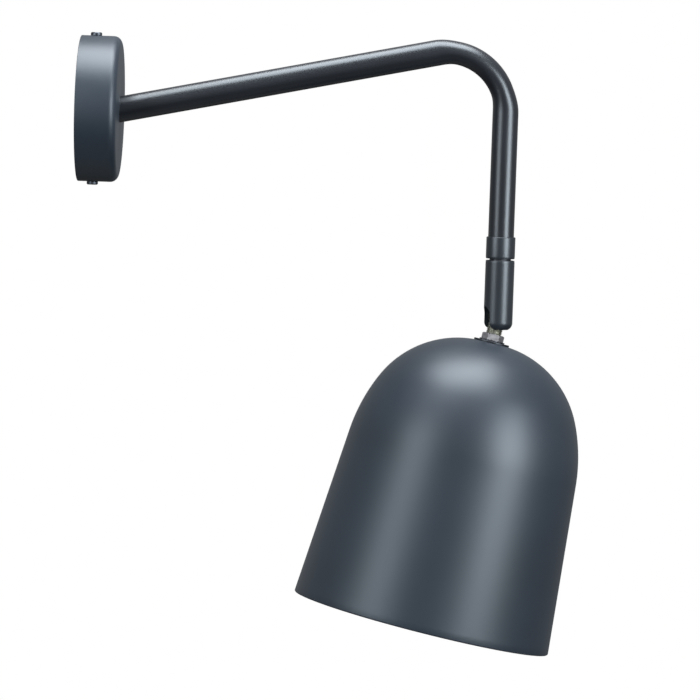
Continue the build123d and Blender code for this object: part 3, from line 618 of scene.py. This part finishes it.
outer_tube = tube_grid(0)
inner_tube = tube_grid(TUBE_WALL)
tube_points = [np.concatenate([a, b[::-1]]) for a, b in zip(outer_tube, inner_tube)]
surface("bent_arm_tube", "arm_tube", [(room.points(*tube_points), True, True)], crease=45)

# %% [markdown]
# ## The collar
# The collar is a plain turned sleeve that is pushed on the tube's lower end, a little wider than the
# tube. The knuckle turns under it, and a dark gap shows between the two. Both edges of that gap have a
# long, shallow chamfer, which gives the thin bright line above and below the gap. A half section with
# its two corners moved in by a hair is enough for that.

# %% The collar
COLLAR_RADIUS = 9.0
COLLAR_FOOT = 35.9
COLLAR_TOP = 49.3
SWIVEL_PIN_RADIUS = 4.0
EDGE_HEIGHT = 1.3          # the long, shallow chamfers on each side of the gap
EDGE_DEPTH = 0.15

collar_corners = [
    (COLLAR_RADIUS - EDGE_DEPTH, COLLAR_FOOT, 0.2),
    (COLLAR_RADIUS, COLLAR_FOOT + EDGE_HEIGHT, 0.2),
    (COLLAR_RADIUS, COLLAR_TOP, 0.5),
    (TUBE_RADIUS + 0.02, COLLAR_TOP, 0.12),
    (TUBE_RADIUS + 0.02, ROD_END, 0),
    (SWIVEL_PIN_RADIUS, ROD_END, 0),
    (SWIVEL_PIN_RADIUS, COLLAR_FOOT, 0.2),
]
surface("turned_collar", "swivel_collar", [turned(rod, rounded(collar_corners))])

# %% [markdown]
# ## The knuckle, from its rounded end to the middle of the slot
# The knuckle is the clever piece: turned round at its lower end, bored through for the ball, and
# slotted on one side so that the stub can swing up. A boolean would cut the slot, but it leaves ragged
# faces that spoil the bevel, so the slotted part is carried upwards as one C-shaped outline: the outer
# arc, one slot wall, the bore and the other wall.

# %% The slotted part
KNUCKLE_RADIUS = 9.0
KNUCKLE_TOP = 34.8
KNUCKLE_FOOT = -8.6
KNUCKLE_ROUND = 4.8
KNUCKLE_LIP = 6.35         # the radius at which the rounded end stops, just outside the bore
BORE_RADIUS = 6.1
BUSH_RADIUS = 7.6
BUSH_FOOT = 27.8
SLOT_HALF = 5.4            # half the slot's width, and the radius of its round upper end
SLOT_BEND = 0.9            # the height at which that round end starts
ARC_STEPS = 65
SLOT_STEPS = 7
CEILING_STEPS = 25


def end_radius(height):
    """Radius of the knuckle at a height: a quarter circle at its foot, then straight."""
    below = np.minimum(height - (KNUCKLE_FOOT + KNUCKLE_ROUND), 0)
    return KNUCKLE_RADIUS - KNUCKLE_ROUND + np.sqrt(KNUCKLE_ROUND ** 2 - below ** 2)


def polar(radius, angle):
    """x and y of a point at a radius and an angle."""
    return radius * np.cos(angle), radius * np.sin(angle)


lip_rise = math.sqrt(KNUCKLE_ROUND ** 2 - (KNUCKLE_LIP - KNUCKLE_RADIUS + KNUCKLE_ROUND) ** 2)
lip_height = KNUCKLE_FOOT + KNUCKLE_ROUND - lip_rise
drop_angle = np.linspace(math.asin(lip_rise / KNUCKLE_ROUND), 0, 14)
low_heights = KNUCKLE_FOOT + KNUCKLE_ROUND - KNUCKLE_ROUND * np.sin(drop_angle)
heights = np.concatenate([low_heights, np.linspace(low_heights[-1], SLOT_BEND, 9)[1:]])[:, None]

outer = end_radius(heights)
bore_half_angle = math.asin(SLOT_HALF / BORE_RADIUS)
sweep = np.linspace(-1, 1, ARC_STEPS)[None, :]
outer_x, outer_y = polar(outer, sweep * (math.pi - np.arcsin(SLOT_HALF / outer)))
bore_x, bore_y = polar(BORE_RADIUS, sweep * (math.pi - bore_half_angle) + 0 * heights)
wall_share = np.linspace(0, 1, SLOT_STEPS)[None, 1:-1]
wall_x = outer_x[:, -1:] + wall_share * (bore_x[:, -1:] - outer_x[:, -1:])
wall_y = SLOT_HALF + 0 * wall_x
c_x = np.concatenate([outer_x, wall_x, bore_x[:, ::-1], wall_x[:, ::-1]], axis=1)
c_y = np.concatenate([outer_y, wall_y, bore_y[:, ::-1], -wall_y], axis=1)
slotted_part = (rod.points(c_x, c_y, heights), False, True)

lip_share = np.linspace(0, 1, SLOT_STEPS)[:, None]
lip_x = outer_x[0] + lip_share * (bore_x[0] - outer_x[0])
lip_y = outer_y[0] + lip_share * (bore_y[0] - outer_y[0])
lip_face = (rod.points(lip_x, lip_y, lip_height + 0 * lip_x), False, False)
print("slotted part of", c_x.shape[0], "rows with", c_x.shape[1], "points in each")

# %% [markdown]
# ## The slot's round end and the part above it
# The slot is milled with a round cutter, so its upper end is a half circle. Above the height where that
# half circle starts, the knuckle is a closed sleeve again, and only its lowest row of points has to rise
# over the arch. So the sleeve is turned as usual, and each point's height is never less than the arch's
# at its angle. A narrow ceiling joins the arch on the outside to the arch on the bore.

# %% The arch, the sleeve and the whole knuckle
arch = np.linspace(0, math.pi, CEILING_STEPS)[None, :]
arch_y = SLOT_HALF * np.cos(arch)
arch_height = SLOT_BEND + SLOT_HALF * np.sin(arch)
arch_outer = math.pi - np.arcsin(arch_y / KNUCKLE_RADIUS)
arch_bore = math.pi - np.arcsin(arch_y / BORE_RADIUS)
ceiling_start, ceiling_stop = polar(KNUCKLE_RADIUS, arch_outer)[0], polar(BORE_RADIUS, arch_bore)[0]
ceiling_x = ceiling_start + lip_share * (ceiling_stop - ceiling_start)
ceiling = (rod.points(ceiling_x, arch_y, arch_height), False, False)

upper_outline = rounded([
    (KNUCKLE_RADIUS, SLOT_BEND, 0),
    (KNUCKLE_RADIUS, KNUCKLE_TOP - EDGE_HEIGHT, 0.2),
    (KNUCKLE_RADIUS - EDGE_DEPTH, KNUCKLE_TOP, 0.2),
    (BUSH_RADIUS, KNUCKLE_TOP, 0),
    (BUSH_RADIUS, BUSH_FOOT, 0),
    (BORE_RADIUS, BUSH_FOOT, 0),
    (BORE_RADIUS, SLOT_BEND, 0),
])
on_bore = (upper_outline[:, 0] < KNUCKLE_RADIUS - 1)[:, None]
outer_angle = np.concatenate([sweep * arch_outer[0, 0], arch_outer[:, 1:-1]], axis=1)
bore_angle = np.concatenate([sweep * arch_bore[0, 0], arch_bore[:, 1:-1]], axis=1)
upper_x, upper_y = polar(upper_outline[:, :1], np.where(on_bore, bore_angle, outer_angle))
foot_height = np.concatenate([SLOT_BEND + 0 * sweep, arch_height[:, 1:-1]], axis=1)
upper_height = np.maximum(upper_outline[:, 1:], foot_height)
upper_part = (rod.points(upper_x, upper_y, upper_height), False, True)

surface(
    "slotted_knuckle", "knuckle_body", [slotted_part, lip_face, ceiling, upper_part], round_edge=0.28
)

# %% [markdown]
# ## Nuts, washers and threads
# These small pieces are what tells a real lamp from a sketch. A nut is a hexagon whose corners are
# turned down by a cone, a lock washer has teeth with one edge lifted, and a thread is a radius that
# rises and falls with the height, shifted a little at each step round the stub. A Screw modifier
# winds a thread too, but its ends stay open, and a formula can let them fade out.

# %% Threads, nuts and toothed washers as formulas
NUT_FLAT = 12.1 / 2
NUT_HEIGHT = 4.1
NUT_CONE = math.radians(30)
STUB_RADIUS = 5.0
THREAD_PITCH = 1.0
THREAD_DEPTH = 0.58
LEAD_IN = 0.3


def threaded(place, crest, depth, pitch, start, end, bore, per_turn=9, columns=56):
    """Radius = crest - depth (1 - wave), the wave being a trapezium of height / pitch - angle / turn."""
    height = np.linspace(start, end, int((end - start) / pitch * per_turn))[:, None]
    angle = around(columns)
    phase = (height / pitch - angle / (2 * math.pi)) % 1
    wave = np.clip(1.5 * (1 - np.abs(2 * phase - 1)) - 0.25, 0, 1)
    taper = np.clip(np.minimum(height - start, end - height) / depth, 0, 1)
    radius = crest - depth * (1 - wave * taper)
    radius = np.concatenate([radius, bore + 0 * radius[:2]])
    height = np.concatenate([height, [[end], [start]]])
    return place.points(*polar(radius, angle), height), True, True


def hexagon_nut(place, start, direction, turn):
    """Flat / cos(angle from the nearest flat), with the far corners cut by a 30 degree cone."""
    angle = around(96) + turn
    radius = NUT_FLAT / np.cos((angle - turn) % (math.pi / 3) - math.pi / 6)
    cone = NUT_HEIGHT - (radius - NUT_FLAT) * math.tan(NUT_CONE)
    flat = 0 * radius
    rows = [
        (STUB_RADIUS + LEAD_IN + flat, flat),
        (radius, flat),
        (radius, cone),
        (NUT_FLAT - 0.05 + flat, NUT_HEIGHT + flat),
        (STUB_RADIUS + LEAD_IN + flat, NUT_HEIGHT + flat),
        (STUB_RADIUS + flat, NUT_HEIGHT - LEAD_IN + flat),
        (STUB_RADIUS + flat, LEAD_IN + flat),
    ]
    radii = np.concatenate([row[0] for row in rows])
    height = start + direction * np.concatenate([row[1] for row in rows])
    return place.points(*polar(radii, angle), height), True, True


def toothed_ring(place, start, thickness, lift):
    """Root radius plus a tooth where the mask is 1; each tooth's one edge is lifted off the plane."""
    teeth, root, reach, share = 12, 6.9, 1.0, 0.42
    angle = around(teeth * 20)
    local = (angle * teeth / (2 * math.pi)) % 1 - 0.5
    mask = smooth_step((share / 2 - np.abs(local)) / 0.05 + 0.5)
    raised = lift * mask * np.clip(local / share + 0.5, 0, 1)
    flat = 0 * angle
    tip = root + reach * mask
    rows = [(STUB_RADIUS + flat, flat), (root - 0.5 + flat, flat), (tip, raised)]
    radius = np.concatenate([row[0] for row in rows + rows[::-1]])
    low = np.concatenate([start + row[1] for row in rows])
    high = np.concatenate([start + thickness + row[1] for row in rows[::-1]])
    return place.points(*polar(radius, angle), np.concatenate([low, high])), True, True


print("nut corner to corner in mm", round(2 * NUT_FLAT / math.cos(math.pi / 6), 2))

# %% [markdown]
# ## Fastening the shade
# Stub, nut, toothed washer and flat washer lie on the shade's own axis, in that order from above, and
# a second washer and nut hold the sheet from inside. Each starts where the one before it ends, so a
# change of one thickness moves the rest. Only the height of the first comes from the photograph.

# %% Stub, nuts and washers
BALL_FLAT = 4.6
STUB_END = 31.0
STUB_BORE = 2.6
SPIGOT_RADIUS = 3.2
NUT_FOOT = 15.4
NUT_EDGE = 0.12
TOOTH_THICKNESS = 0.6
TOOTH_LIFT = 0.35
COVER_RADIUS = 11.1
COVER_THICKNESS = 1.2
INNER_RADIUS = 10.5
NUT_TURN = math.radians(16)
cover_depth = NUT_FOOT + TOOTH_THICKNESS
inner_depth = SHADE_TOP + SHEET
inner_nut_depth = inner_depth + COVER_THICKNESS

spigot = ring(hang, SPIGOT_RADIUS, STUB_BORE, BALL_FLAT - 2, BALL_FLAT + 1, 0.1)
stub_thread = threaded(
    hang, STUB_RADIUS, THREAD_DEPTH, THREAD_PITCH, BALL_FLAT, STUB_END, STUB_BORE
)
surface("stub_with_thread", "threaded_stub", [spigot, stub_thread], crease=60)
nut_grid = hexagon_nut(hang, NUT_FOOT, -1, NUT_TURN)
under_nut_grid = hexagon_nut(hang, inner_nut_depth, 1, NUT_TURN)
tooth_grid = toothed_ring(hang, NUT_FOOT, TOOTH_THICKNESS, -TOOTH_LIFT)
surface("zinc_hex_nut", "hex_nut", [nut_grid], round_edge=NUT_EDGE, crease=20)
surface("nut_under_shade", "inner_nut", [under_nut_grid], round_edge=NUT_EDGE, crease=20)
surface("lifted_tooth_washer", "tooth_washer", [tooth_grid])
surface(
    "flat_cover_washer",
    "cover_washer",
    [ring(hang, COVER_RADIUS, STUB_RADIUS, cover_depth, SHADE_TOP, 0.25)],
)
surface(
    "flat_inner_washer",
    "inner_washer",
    [ring(hang, INNER_RADIUS, STUB_RADIUS, inner_depth, inner_nut_depth, 0.25)],
)

# %% [markdown]
# ## The canopy and what is behind it
# The canopy is another spun piece, a shallow drum that hides the bracket and the wires. The arm's end
# comes through its middle on a threaded stub, with a stiffening plate, a toothed washer and a nut
# behind. All of them are the shapes from above, turned on the axis that leaves the wall. Seen from the
# wall side the drum is open, so its inside is modelled as carefully as its face.

# %% Canopy, plate, lock washer, nut and plug
CANOPY_RADIUS = 45.0
CANOPY_WALL = 1.2
CANOPY_EDGE = 5.0
PLATE_RADIUS = 18.0
PLATE_THICKNESS = 2.0
PLUG_START = 1.6           # where the plug's body starts in the tube, past the slanted end
PLUG_LENGTH = 14.0
PLUG_STUB = 9.5            # how far its thread reaches back through the canopy
PLUG_ROOT = 1.2            # and forward into the tube
plate_face = CANOPY_DEPTH - CANOPY_WALL - PLATE_THICKNESS
tooth_face = plate_face - TOOTH_THICKNESS

canopy_corners = [
    (CANOPY_RADIUS, 0, 0.3),
    (CANOPY_RADIUS, CANOPY_DEPTH, CANOPY_EDGE),
    (STUB_RADIUS + 0.2, CANOPY_DEPTH, 0.2),
    (STUB_RADIUS + 0.2, CANOPY_DEPTH - CANOPY_WALL, 0.2),
    (CANOPY_RADIUS - CANOPY_WALL, CANOPY_DEPTH - CANOPY_WALL, CANOPY_EDGE - CANOPY_WALL),
    (CANOPY_RADIUS - CANOPY_WALL, 0, 0.3),
]
surface("spun_canopy", "canopy", [turned(wall, rounded(canopy_corners, steps=10), columns=160)])
surface(
    "stiffening_plate",
    "backing_plate",
    [ring(wall, PLATE_RADIUS, STUB_RADIUS, plate_face, plate_face + PLATE_THICKNESS, 0.3)],
)
arm_tooth_grid = toothed_ring(wall, tooth_face, TOOTH_THICKNESS, -TOOTH_LIFT)
arm_nut_grid = hexagon_nut(wall, tooth_face, -1, 0)
surface("arm_tooth_washer", "arm_lock_washer", [arm_tooth_grid])
surface("zinc_arm_nut", "arm_nut", [arm_nut_grid], round_edge=NUT_EDGE, crease=20)
arm_slope = (math.cos(ARM_RISE), 0, math.sin(ARM_RISE))
plug_axis = Place((MM * CANOPY_DEPTH, 0, 0), along=arm_slope, side=(0, 1, 0))
plug_body = ring(plug_axis, TUBE_RADIUS - TUBE_WALL, STUB_BORE, PLUG_START, PLUG_LENGTH, 0.4)
stub_start, stub_stop = CANOPY_DEPTH - PLUG_STUB, CANOPY_DEPTH + PLUG_ROOT
plug_thread = threaded(wall, STUB_RADIUS, THREAD_DEPTH, THREAD_PITCH, stub_start, stub_stop, STUB_BORE)
surface("arm_plug_and_stub", "arm_end_plug", [plug_body, plug_thread], crease=60)

# %% [markdown]
# ## Lamp holder
# Below the nut the flex ends in a lamp holder: a domed cap, and an outer skirt with grip ribs moulded
# round it. The ribs could be an array of thin bars, but they would have to be joined to the skirt. Here
# they are the skirt's own outline, drawn in a little at even steps round the turn.

# %% The holder
HOLDER_TOP = 23.3
HOLDER_FACE = 29.8         # where the dome starts, below the narrow neck
HOLDER_END = 45.3
HOLDER_NECK = 8.0
HOLDER_RADIUS = 18.8
HOLDER_WALL = 2.0
SHELL_START = 40.3
SHELL_END = 75.3
SHELL_TAPER_END = 70.0
SHELL_WIDE = 20.6
SHELL_NARROW = 19.6
SHELL_BORE = 17.2
SHELL_MOUTH = 15.4
SHELL_LIP = 1.6
HOLDER_RIBS = 36
RIB_DEPTH = 0.55
RIBS_START = 43.5
RIBS_STOP = 71.5
SIDE_START = 47.0          # the long side gets rows of its own, so that the ribs can fade
SIDE_STOP = 69.0

cap_corners = [
    (STUB_RADIUS, HOLDER_TOP, 0.2),
    (HOLDER_NECK, HOLDER_TOP, 0.6),
    (HOLDER_NECK, HOLDER_FACE, 1.2),
    (HOLDER_RADIUS, HOLDER_FACE, 7.0),
    (HOLDER_RADIUS, HOLDER_END, 0),
    (HOLDER_RADIUS - HOLDER_WALL, HOLDER_END, 0),
    (HOLDER_RADIUS - HOLDER_WALL, HOLDER_FACE + HOLDER_WALL, 5.0),
    (STUB_RADIUS, HOLDER_FACE + HOLDER_WALL, 0.2),
]
surface("domed_holder_cap", "holder_cap", [turned(hang, rounded(cap_corners, steps=9))])

shell_corners = [
    (HOLDER_RADIUS, SHELL_START, 0.2),
    (SHELL_WIDE, SHELL_START, 0.5),
    (SHELL_WIDE, HOLDER_END, 0.8),
    (SHELL_NARROW, SHELL_TAPER_END, 0.4),
    (SHELL_NARROW - 0.4, SHELL_END, 0.8),
    (SHELL_MOUTH, SHELL_END, 0.4),
    (SHELL_MOUTH, SHELL_END - SHELL_LIP, 0.3),
    (SHELL_BORE, SHELL_END - SHELL_LIP, 0),
    (SHELL_BORE, HOLDER_END, 0),
    (HOLDER_RADIUS, HOLDER_END, 0),
]


def grip(angle, radius, height):
    """Ribs: the radius drawn in by a rounded wave, faded out near both ends and on the inside."""
    wave = smooth_step(0.5 - 0.9 * np.cos(HOLDER_RIBS * angle))
    band = smooth_step((height - RIBS_START) / 2) * smooth_step((RIBS_STOP - height) / 2)
    band = band * (radius > HOLDER_RADIUS + 0.3)
    return -RIB_DEPTH * wave * band


shell_outline = rounded(shell_corners)
long_side = np.linspace(SIDE_START, SIDE_STOP, 12)
taper = (SHELL_NARROW - SHELL_WIDE) / (SHELL_TAPER_END - HOLDER_END)
side_radius = SHELL_WIDE + taper * (long_side - HOLDER_END)
before_side = int(np.argmax(shell_outline[:, 1] > SIDE_START - 0.5))
shell_outline = np.concatenate([
    shell_outline[:before_side],
    np.stack([side_radius, long_side], axis=1),
    shell_outline[before_side:],
])
shell_grid = turned(hang, shell_outline, columns=HOLDER_RIBS * 10, flute=grip)
surface("ribbed_holder_shell", "holder_shell", [shell_grid])

# %% [markdown]
# ## The bulb's screw cap
# The cap is rolled from thin metal, so its screw is a soft wave, not a cut thread. A cone with a flat
# contact closes its end. A Screw modifier could wind the wave, but it would have to be joined to the
# rest. Here the wave is the cosine of the height less the angle, faded out at both ends, and the whole
# cap is one grid from the contact to the lip under the glass.

# %% The bulb's cap
BULB_TOP = 56.05
INSULATOR_START = BULB_TOP + 1.0
BULB_SHELL = 60.55
BULB_CAP_END = 81.55
CONTACT_RADIUS = 4.5
CAP_MOUTH = 12.1
CAP_SKIN = 0.5
CAP_CREST = 13.1
CAP_THREAD_DEPTH = 0.95
CAP_PITCH = 3.63

cap_height = np.linspace(BULB_SHELL, BULB_CAP_END, 96)
cap_angle = around(96)
cap_wave = 0.5 + 0.5 * np.cos(2 * math.pi * cap_height[:, None] / CAP_PITCH - cap_angle)
cap_fade = smooth_step((cap_height - BULB_SHELL - 0.4) / 2)
cap_fade = cap_fade * smooth_step((BULB_CAP_END - 1.2 - cap_height) / 2)
cap_radius = CAP_CREST - CAP_THREAD_DEPTH * (1 - cap_wave * cap_fade[:, None])
contact_edge = CONTACT_RADIUS - 0.4
cap_inside = CAP_MOUTH - CAP_SKIN
nose = np.array([
    [0.0, BULB_TOP],
    [contact_edge, BULB_TOP],
    [CONTACT_RADIUS, BULB_TOP + 0.4],
    [CONTACT_RADIUS, INSULATOR_START],
    [12.0, BULB_SHELL],
])
skin = np.array([
    [CAP_MOUTH, BULB_CAP_END],
    [cap_inside, BULB_CAP_END],
    [cap_inside, BULB_SHELL + 2],
    [0.0, BULB_SHELL + 2],
])
radii = np.concatenate([nose[:, :1] + 0 * cap_angle, cap_radius, skin[:, :1] + 0 * cap_angle])
levels = np.concatenate([nose[:, 1], cap_height, skin[:, 1]])[:, None]
cap_points = hang.points(*polar(radii, cap_angle), levels)
surface("bulb_screw_cap", "bulb_cap", [(cap_points, False, True)], crease=50)

# %% [markdown]
# ## The bulb's glass
# The glass is blown: a ball that flows into a straight neck without a crease. The ball is an arc, and
# the flow is a cubic curve that leaves the arc in the arc's own direction and arrives straight down the
# neck. The wall has its real thickness, because light passes it on both sides.

# %% The frosted glass
BULB_END = 161.05
BULB_RADIUS = 30.0
BULB_NECK = 12.4
NECK_START = 75.55
NECK_STRAIGHT = 83.55
GLASS = 0.8
SHOULDER_ANGLE = math.radians(52)
PULL = 42.0                # how stiffly the curve keeps the two directions that it joins

globe_centre = BULB_END - BULB_RADIUS
globe_angle = np.linspace(-math.pi / 2, SHOULDER_ANGLE, 48)
globe_normal = np.stack([np.cos(globe_angle), -np.sin(globe_angle)], axis=1)
globe = [0, globe_centre] + BULB_RADIUS * globe_normal
share = np.linspace(0, 1, 26)[1:, None]
leave = PULL * np.array([-math.sin(SHOULDER_ANGLE), -math.cos(SHOULDER_ANGLE)])
arrive = PULL * np.array([0.0, -1.0])
neck = (
    (2 * share ** 3 - 3 * share ** 2 + 1) * globe[-1]
    + (share ** 3 - 2 * share ** 2 + share) * leave
    + (3 * share ** 2 - 2 * share ** 3) * np.array([BULB_NECK, NECK_STRAIGHT])
    + (share ** 3 - share ** 2) * arrive
)
neck_slope = np.gradient(np.concatenate([globe[-1:], neck]), axis=0)[1:]
neck_normal = np.stack([-neck_slope[:, 1], neck_slope[:, 0]], axis=1)
neck_normal /= np.linalg.norm(neck_normal, axis=1, keepdims=True)
stem = np.array([[BULB_NECK, NECK_START]])
glass_outside = np.concatenate([globe, neck, stem])
glass_normal = np.concatenate([globe_normal, neck_normal, [[1.0, 0.0]]])
glass_inside = glass_outside - GLASS * glass_normal
glass_inside[0, 0] = 0
glass_outline = np.concatenate([glass_outside, glass_inside[::-1]])
glass_grid = turned(hang, glass_outline)[0]
surface("frosted_bulb", "bulb_globe", [(glass_grid, False, True)], crease=60)

# %% [markdown]
# ## Small solids that keep their CAD shape
# The bracket, the connector block, the screws, the bush and the ball are right as they are: only their
# edges are too sharp. A copy of each mesh has its loose triangles joined and its flat faces made
# whole again, and a bevel gives the edges a small round that catches the light.

# %% Softened copies
def softened(name, node, round_edge, crease=30):
    """Copy of a CAD node with its triangles joined, flat areas made one face, and edges rounded."""
    mesh = frame["nodes"][node].data.copy()
    mesh.name = name
    if mesh.has_custom_normals:
        mesh.attributes.remove(mesh.attributes["custom_normal"])
    weld(mesh, flatten=math.radians(0.4))
    place_piece(mesh, name, node, round_edge, crease)


softened("pressed_bracket", "wall_bracket", 0.3)
softened("canopy_side_screws", "canopy_screws", 0.15)
softened("connector_block", "terminal_block", 0.3)
softened("connector_screws", "terminal_screws", 0.1)
softened("bracket_earth_screw", "earth_screw", 0.12)
softened("rubber_bush", "cable_grommet", 0.15)
softened("slotted_ball", "pivot_ball", 0.12)
softened("swivel_neck", "swivel_bush", 0.1)

# %% [markdown]
# ## Camera
# The photograph was taken with a long lens from slightly above, so the shade hardly narrows with
# distance. The camera's place and its three directions were worked out from the outline of the tube
# and the shade. A long focal length on a normal sensor keeps the same field of view.

# %% The camera
CAMERA_PLACE = (0.17188, -2.1678, 0.00398)
CAMERA_RIGHT = unit((0.99943, 0.00230, 0.03360))
CAMERA_FORWARD = unit((0.0, 0.99767, -0.06819))
LENS = 180.0
SENSOR = 36.0

camera_data = bpy.data.cameras.new("camera")
camera_data.lens = LENS
camera_data.sensor_width = SENSOR
camera = bpy.data.objects.new("camera", camera_data)
bpy.context.scene.collection.objects.link(camera)
camera_up = np.cross(CAMERA_RIGHT, CAMERA_FORWARD)
turn = np.stack([np.cross(CAMERA_FORWARD, camera_up), camera_up, -CAMERA_FORWARD], axis=1)
camera.matrix_world = Matrix.Translation(CAMERA_PLACE) @ Matrix(turn.tolist()).to_4x4()
bpy.context.scene.camera = camera
print("view in degrees", round(math.degrees(2 * math.atan(SENSOR / 2 / LENS)), 2))

# %% [markdown]
# ## Light and background
# Satin paint shows its lamps as bands. Two tall softboxes in front, the right one stronger, give the
# two upright bands on the tube, the knuckle and the shade, and one above gives the oval on the
# shoulder and the bright line along the arm. A picture of a studio on the world would do it too, but
# three rectangles are easier to move until the bands lie where they should.

# %% Softboxes
LAMP_CENTRE = np.array([0.19, 0.0, -0.17])


def softbox(name, azimuth, elevation, distance, width, height, power):
    """A rectangle of light that faces the lamp; azimuth 0 is in front, positive to the right."""
    azimuth, elevation = math.radians(azimuth), math.radians(elevation)
    towards = np.array([
        math.sin(azimuth) * math.cos(elevation),
        -math.cos(azimuth) * math.cos(elevation),
        math.sin(elevation),
    ])
    light_data = bpy.data.lights.new(name, "AREA")
    light_data.shape = "RECTANGLE"
    light_data.size = width
    light_data.size_y = height
    light_data.energy = power
    light = bpy.data.objects.new(name, light_data)
    bpy.context.scene.collection.objects.link(light)
    across = unit(np.cross(up, towards))
    light_turn = np.stack([across, np.cross(towards, across), towards], axis=1)
    light_place = LAMP_CENTRE + distance * towards
    light.matrix_world = Matrix.Translation(light_place.tolist()) @ Matrix(light_turn.tolist()).to_4x4()


softbox("right softbox", 47, 13, 1.3, 0.64, 0.85, 27)
softbox("left softbox", -46, 17, 1.3, 0.62, 0.85, 13)
softbox("top softbox", 0, 86, 1.1, 0.95, 0.82, 35)
print("softboxes placed")

# %% [markdown]
# ## The floor
# The photograph's background is white, but white surroundings would wash the dark paint out. So the
# floor is a pale matt sheet for the light that falls on it and plain white for the camera. A ray says
# what it is for: one from the camera or through glass finds white, and one that is mirrored in a gloss
# finds only a share of it.

# %% The pale floor
FLOOR_LEVEL = -2.5
FLOOR_HALF = 2.0
MIRRORED_GROUND = 0.06     # how white the surroundings are in reflections, below the lamp


def white_share(finish, mirrored_level):
    """How white a ray finds the background: fully from the camera and through glass, partly in gloss."""
    seen, mirrored, through = (
        finish.node("ShaderNodeLightPath", out=ray)
        for ray in ("Is Camera Ray", "Is Glossy Ray", "Is Transmission Ray")
    )
    return seen + through + mirrored_level * mirrored


floor_x, floor_y = np.meshgrid([-FLOOR_HALF, FLOOR_HALF], [-FLOOR_HALF, FLOOR_HALF])
floor_points = np.stack([floor_x, floor_y, FLOOR_LEVEL + 0 * floor_x], axis=-1).reshape(-1, 3)
floor_mesh = bpy.data.meshes.new("floor")
floor_mesh.from_pydata(floor_points.tolist(), [], [(0, 1, 3, 2)])
floor = bpy.data.objects.new("floor", floor_mesh)
bpy.context.scene.collection.objects.link(floor)

floor_finish = Finish("pale floor")
floor_cloud = floor_finish.noise(3, detail=3)
floor_colour = floor_finish.blend(floor_cloud, (0.36, 0.36, 0.355), (0.40, 0.40, 0.395))
floor_paint = floor_finish.node("ShaderNodeBsdfDiffuse", None, {"Color": floor_colour})
floor_white = floor_finish.node("ShaderNodeEmission", None, {"Color": (1, 1, 1, 1), "Strength": 1.0})
floor_share = white_share(floor_finish, MIRRORED_GROUND)
floor_mix = floor_finish.node("ShaderNodeMixShader", None, {0: floor_share, 1: floor_paint, 2: floor_white})
floor_finish.node("ShaderNodeOutputMaterial", None, {"Surface": floor_mix})
floor_mesh.materials.append(floor_finish.material)
print("floor at", FLOOR_LEVEL, "m,", 2 * FLOOR_HALF, "m wide")

# %% [markdown]
# ## The world
# Far away the surroundings are the same white, and they light the lamp gently: more from above than
# from below, as a room does. The change from one to the other follows the height that a direction
# points to, without a step, because a step would show as a line on the satin paint.

# %% The white surroundings
SKY_LEVEL = 0.16           # how much the white surroundings light the lamp from above
GROUND_LEVEL = 0.02        # and from below
MIRRORED_LEVEL = 0.28      # how white they are in reflections, level with the lamp and above it

bpy.context.scene.world = bpy.data.worlds.new("white studio")
studio = Finish("white studio", bpy.context.scene.world)
direction = studio.node("ShaderNodeTexCoord", out="Generated")
height = studio.node("ShaderNodeSeparateXYZ", None, {"Vector": direction}, out="Z")


def rise(low, high):
    """0 where a direction points lower than the first height and 1 above the second, with no kink."""
    settings = {"interpolation_type": "SMOOTHSTEP"}
    values = {"Value": height, "From Min": low, "From Max": high}
    return studio.node("ShaderNodeMapRange", settings, values)


lit = GROUND_LEVEL + (SKY_LEVEL - GROUND_LEVEL) * rise(-0.5, 0.6)
white = white_share(studio, MIRRORED_GROUND + (MIRRORED_LEVEL - MIRRORED_GROUND) * rise(-0.45, -0.05))
level = lit + white - lit * white
background = studio.node("ShaderNodeBackground", None, {"Color": (1, 1, 1, 1), "Strength": level})
studio.node("ShaderNodeOutputWorld", None, {"Surface": background})
bpy.context.scene.view_settings.view_transform = "Standard"
print("surroundings ready, from", GROUND_LEVEL, "to", SKY_LEVEL)

# %% [markdown]
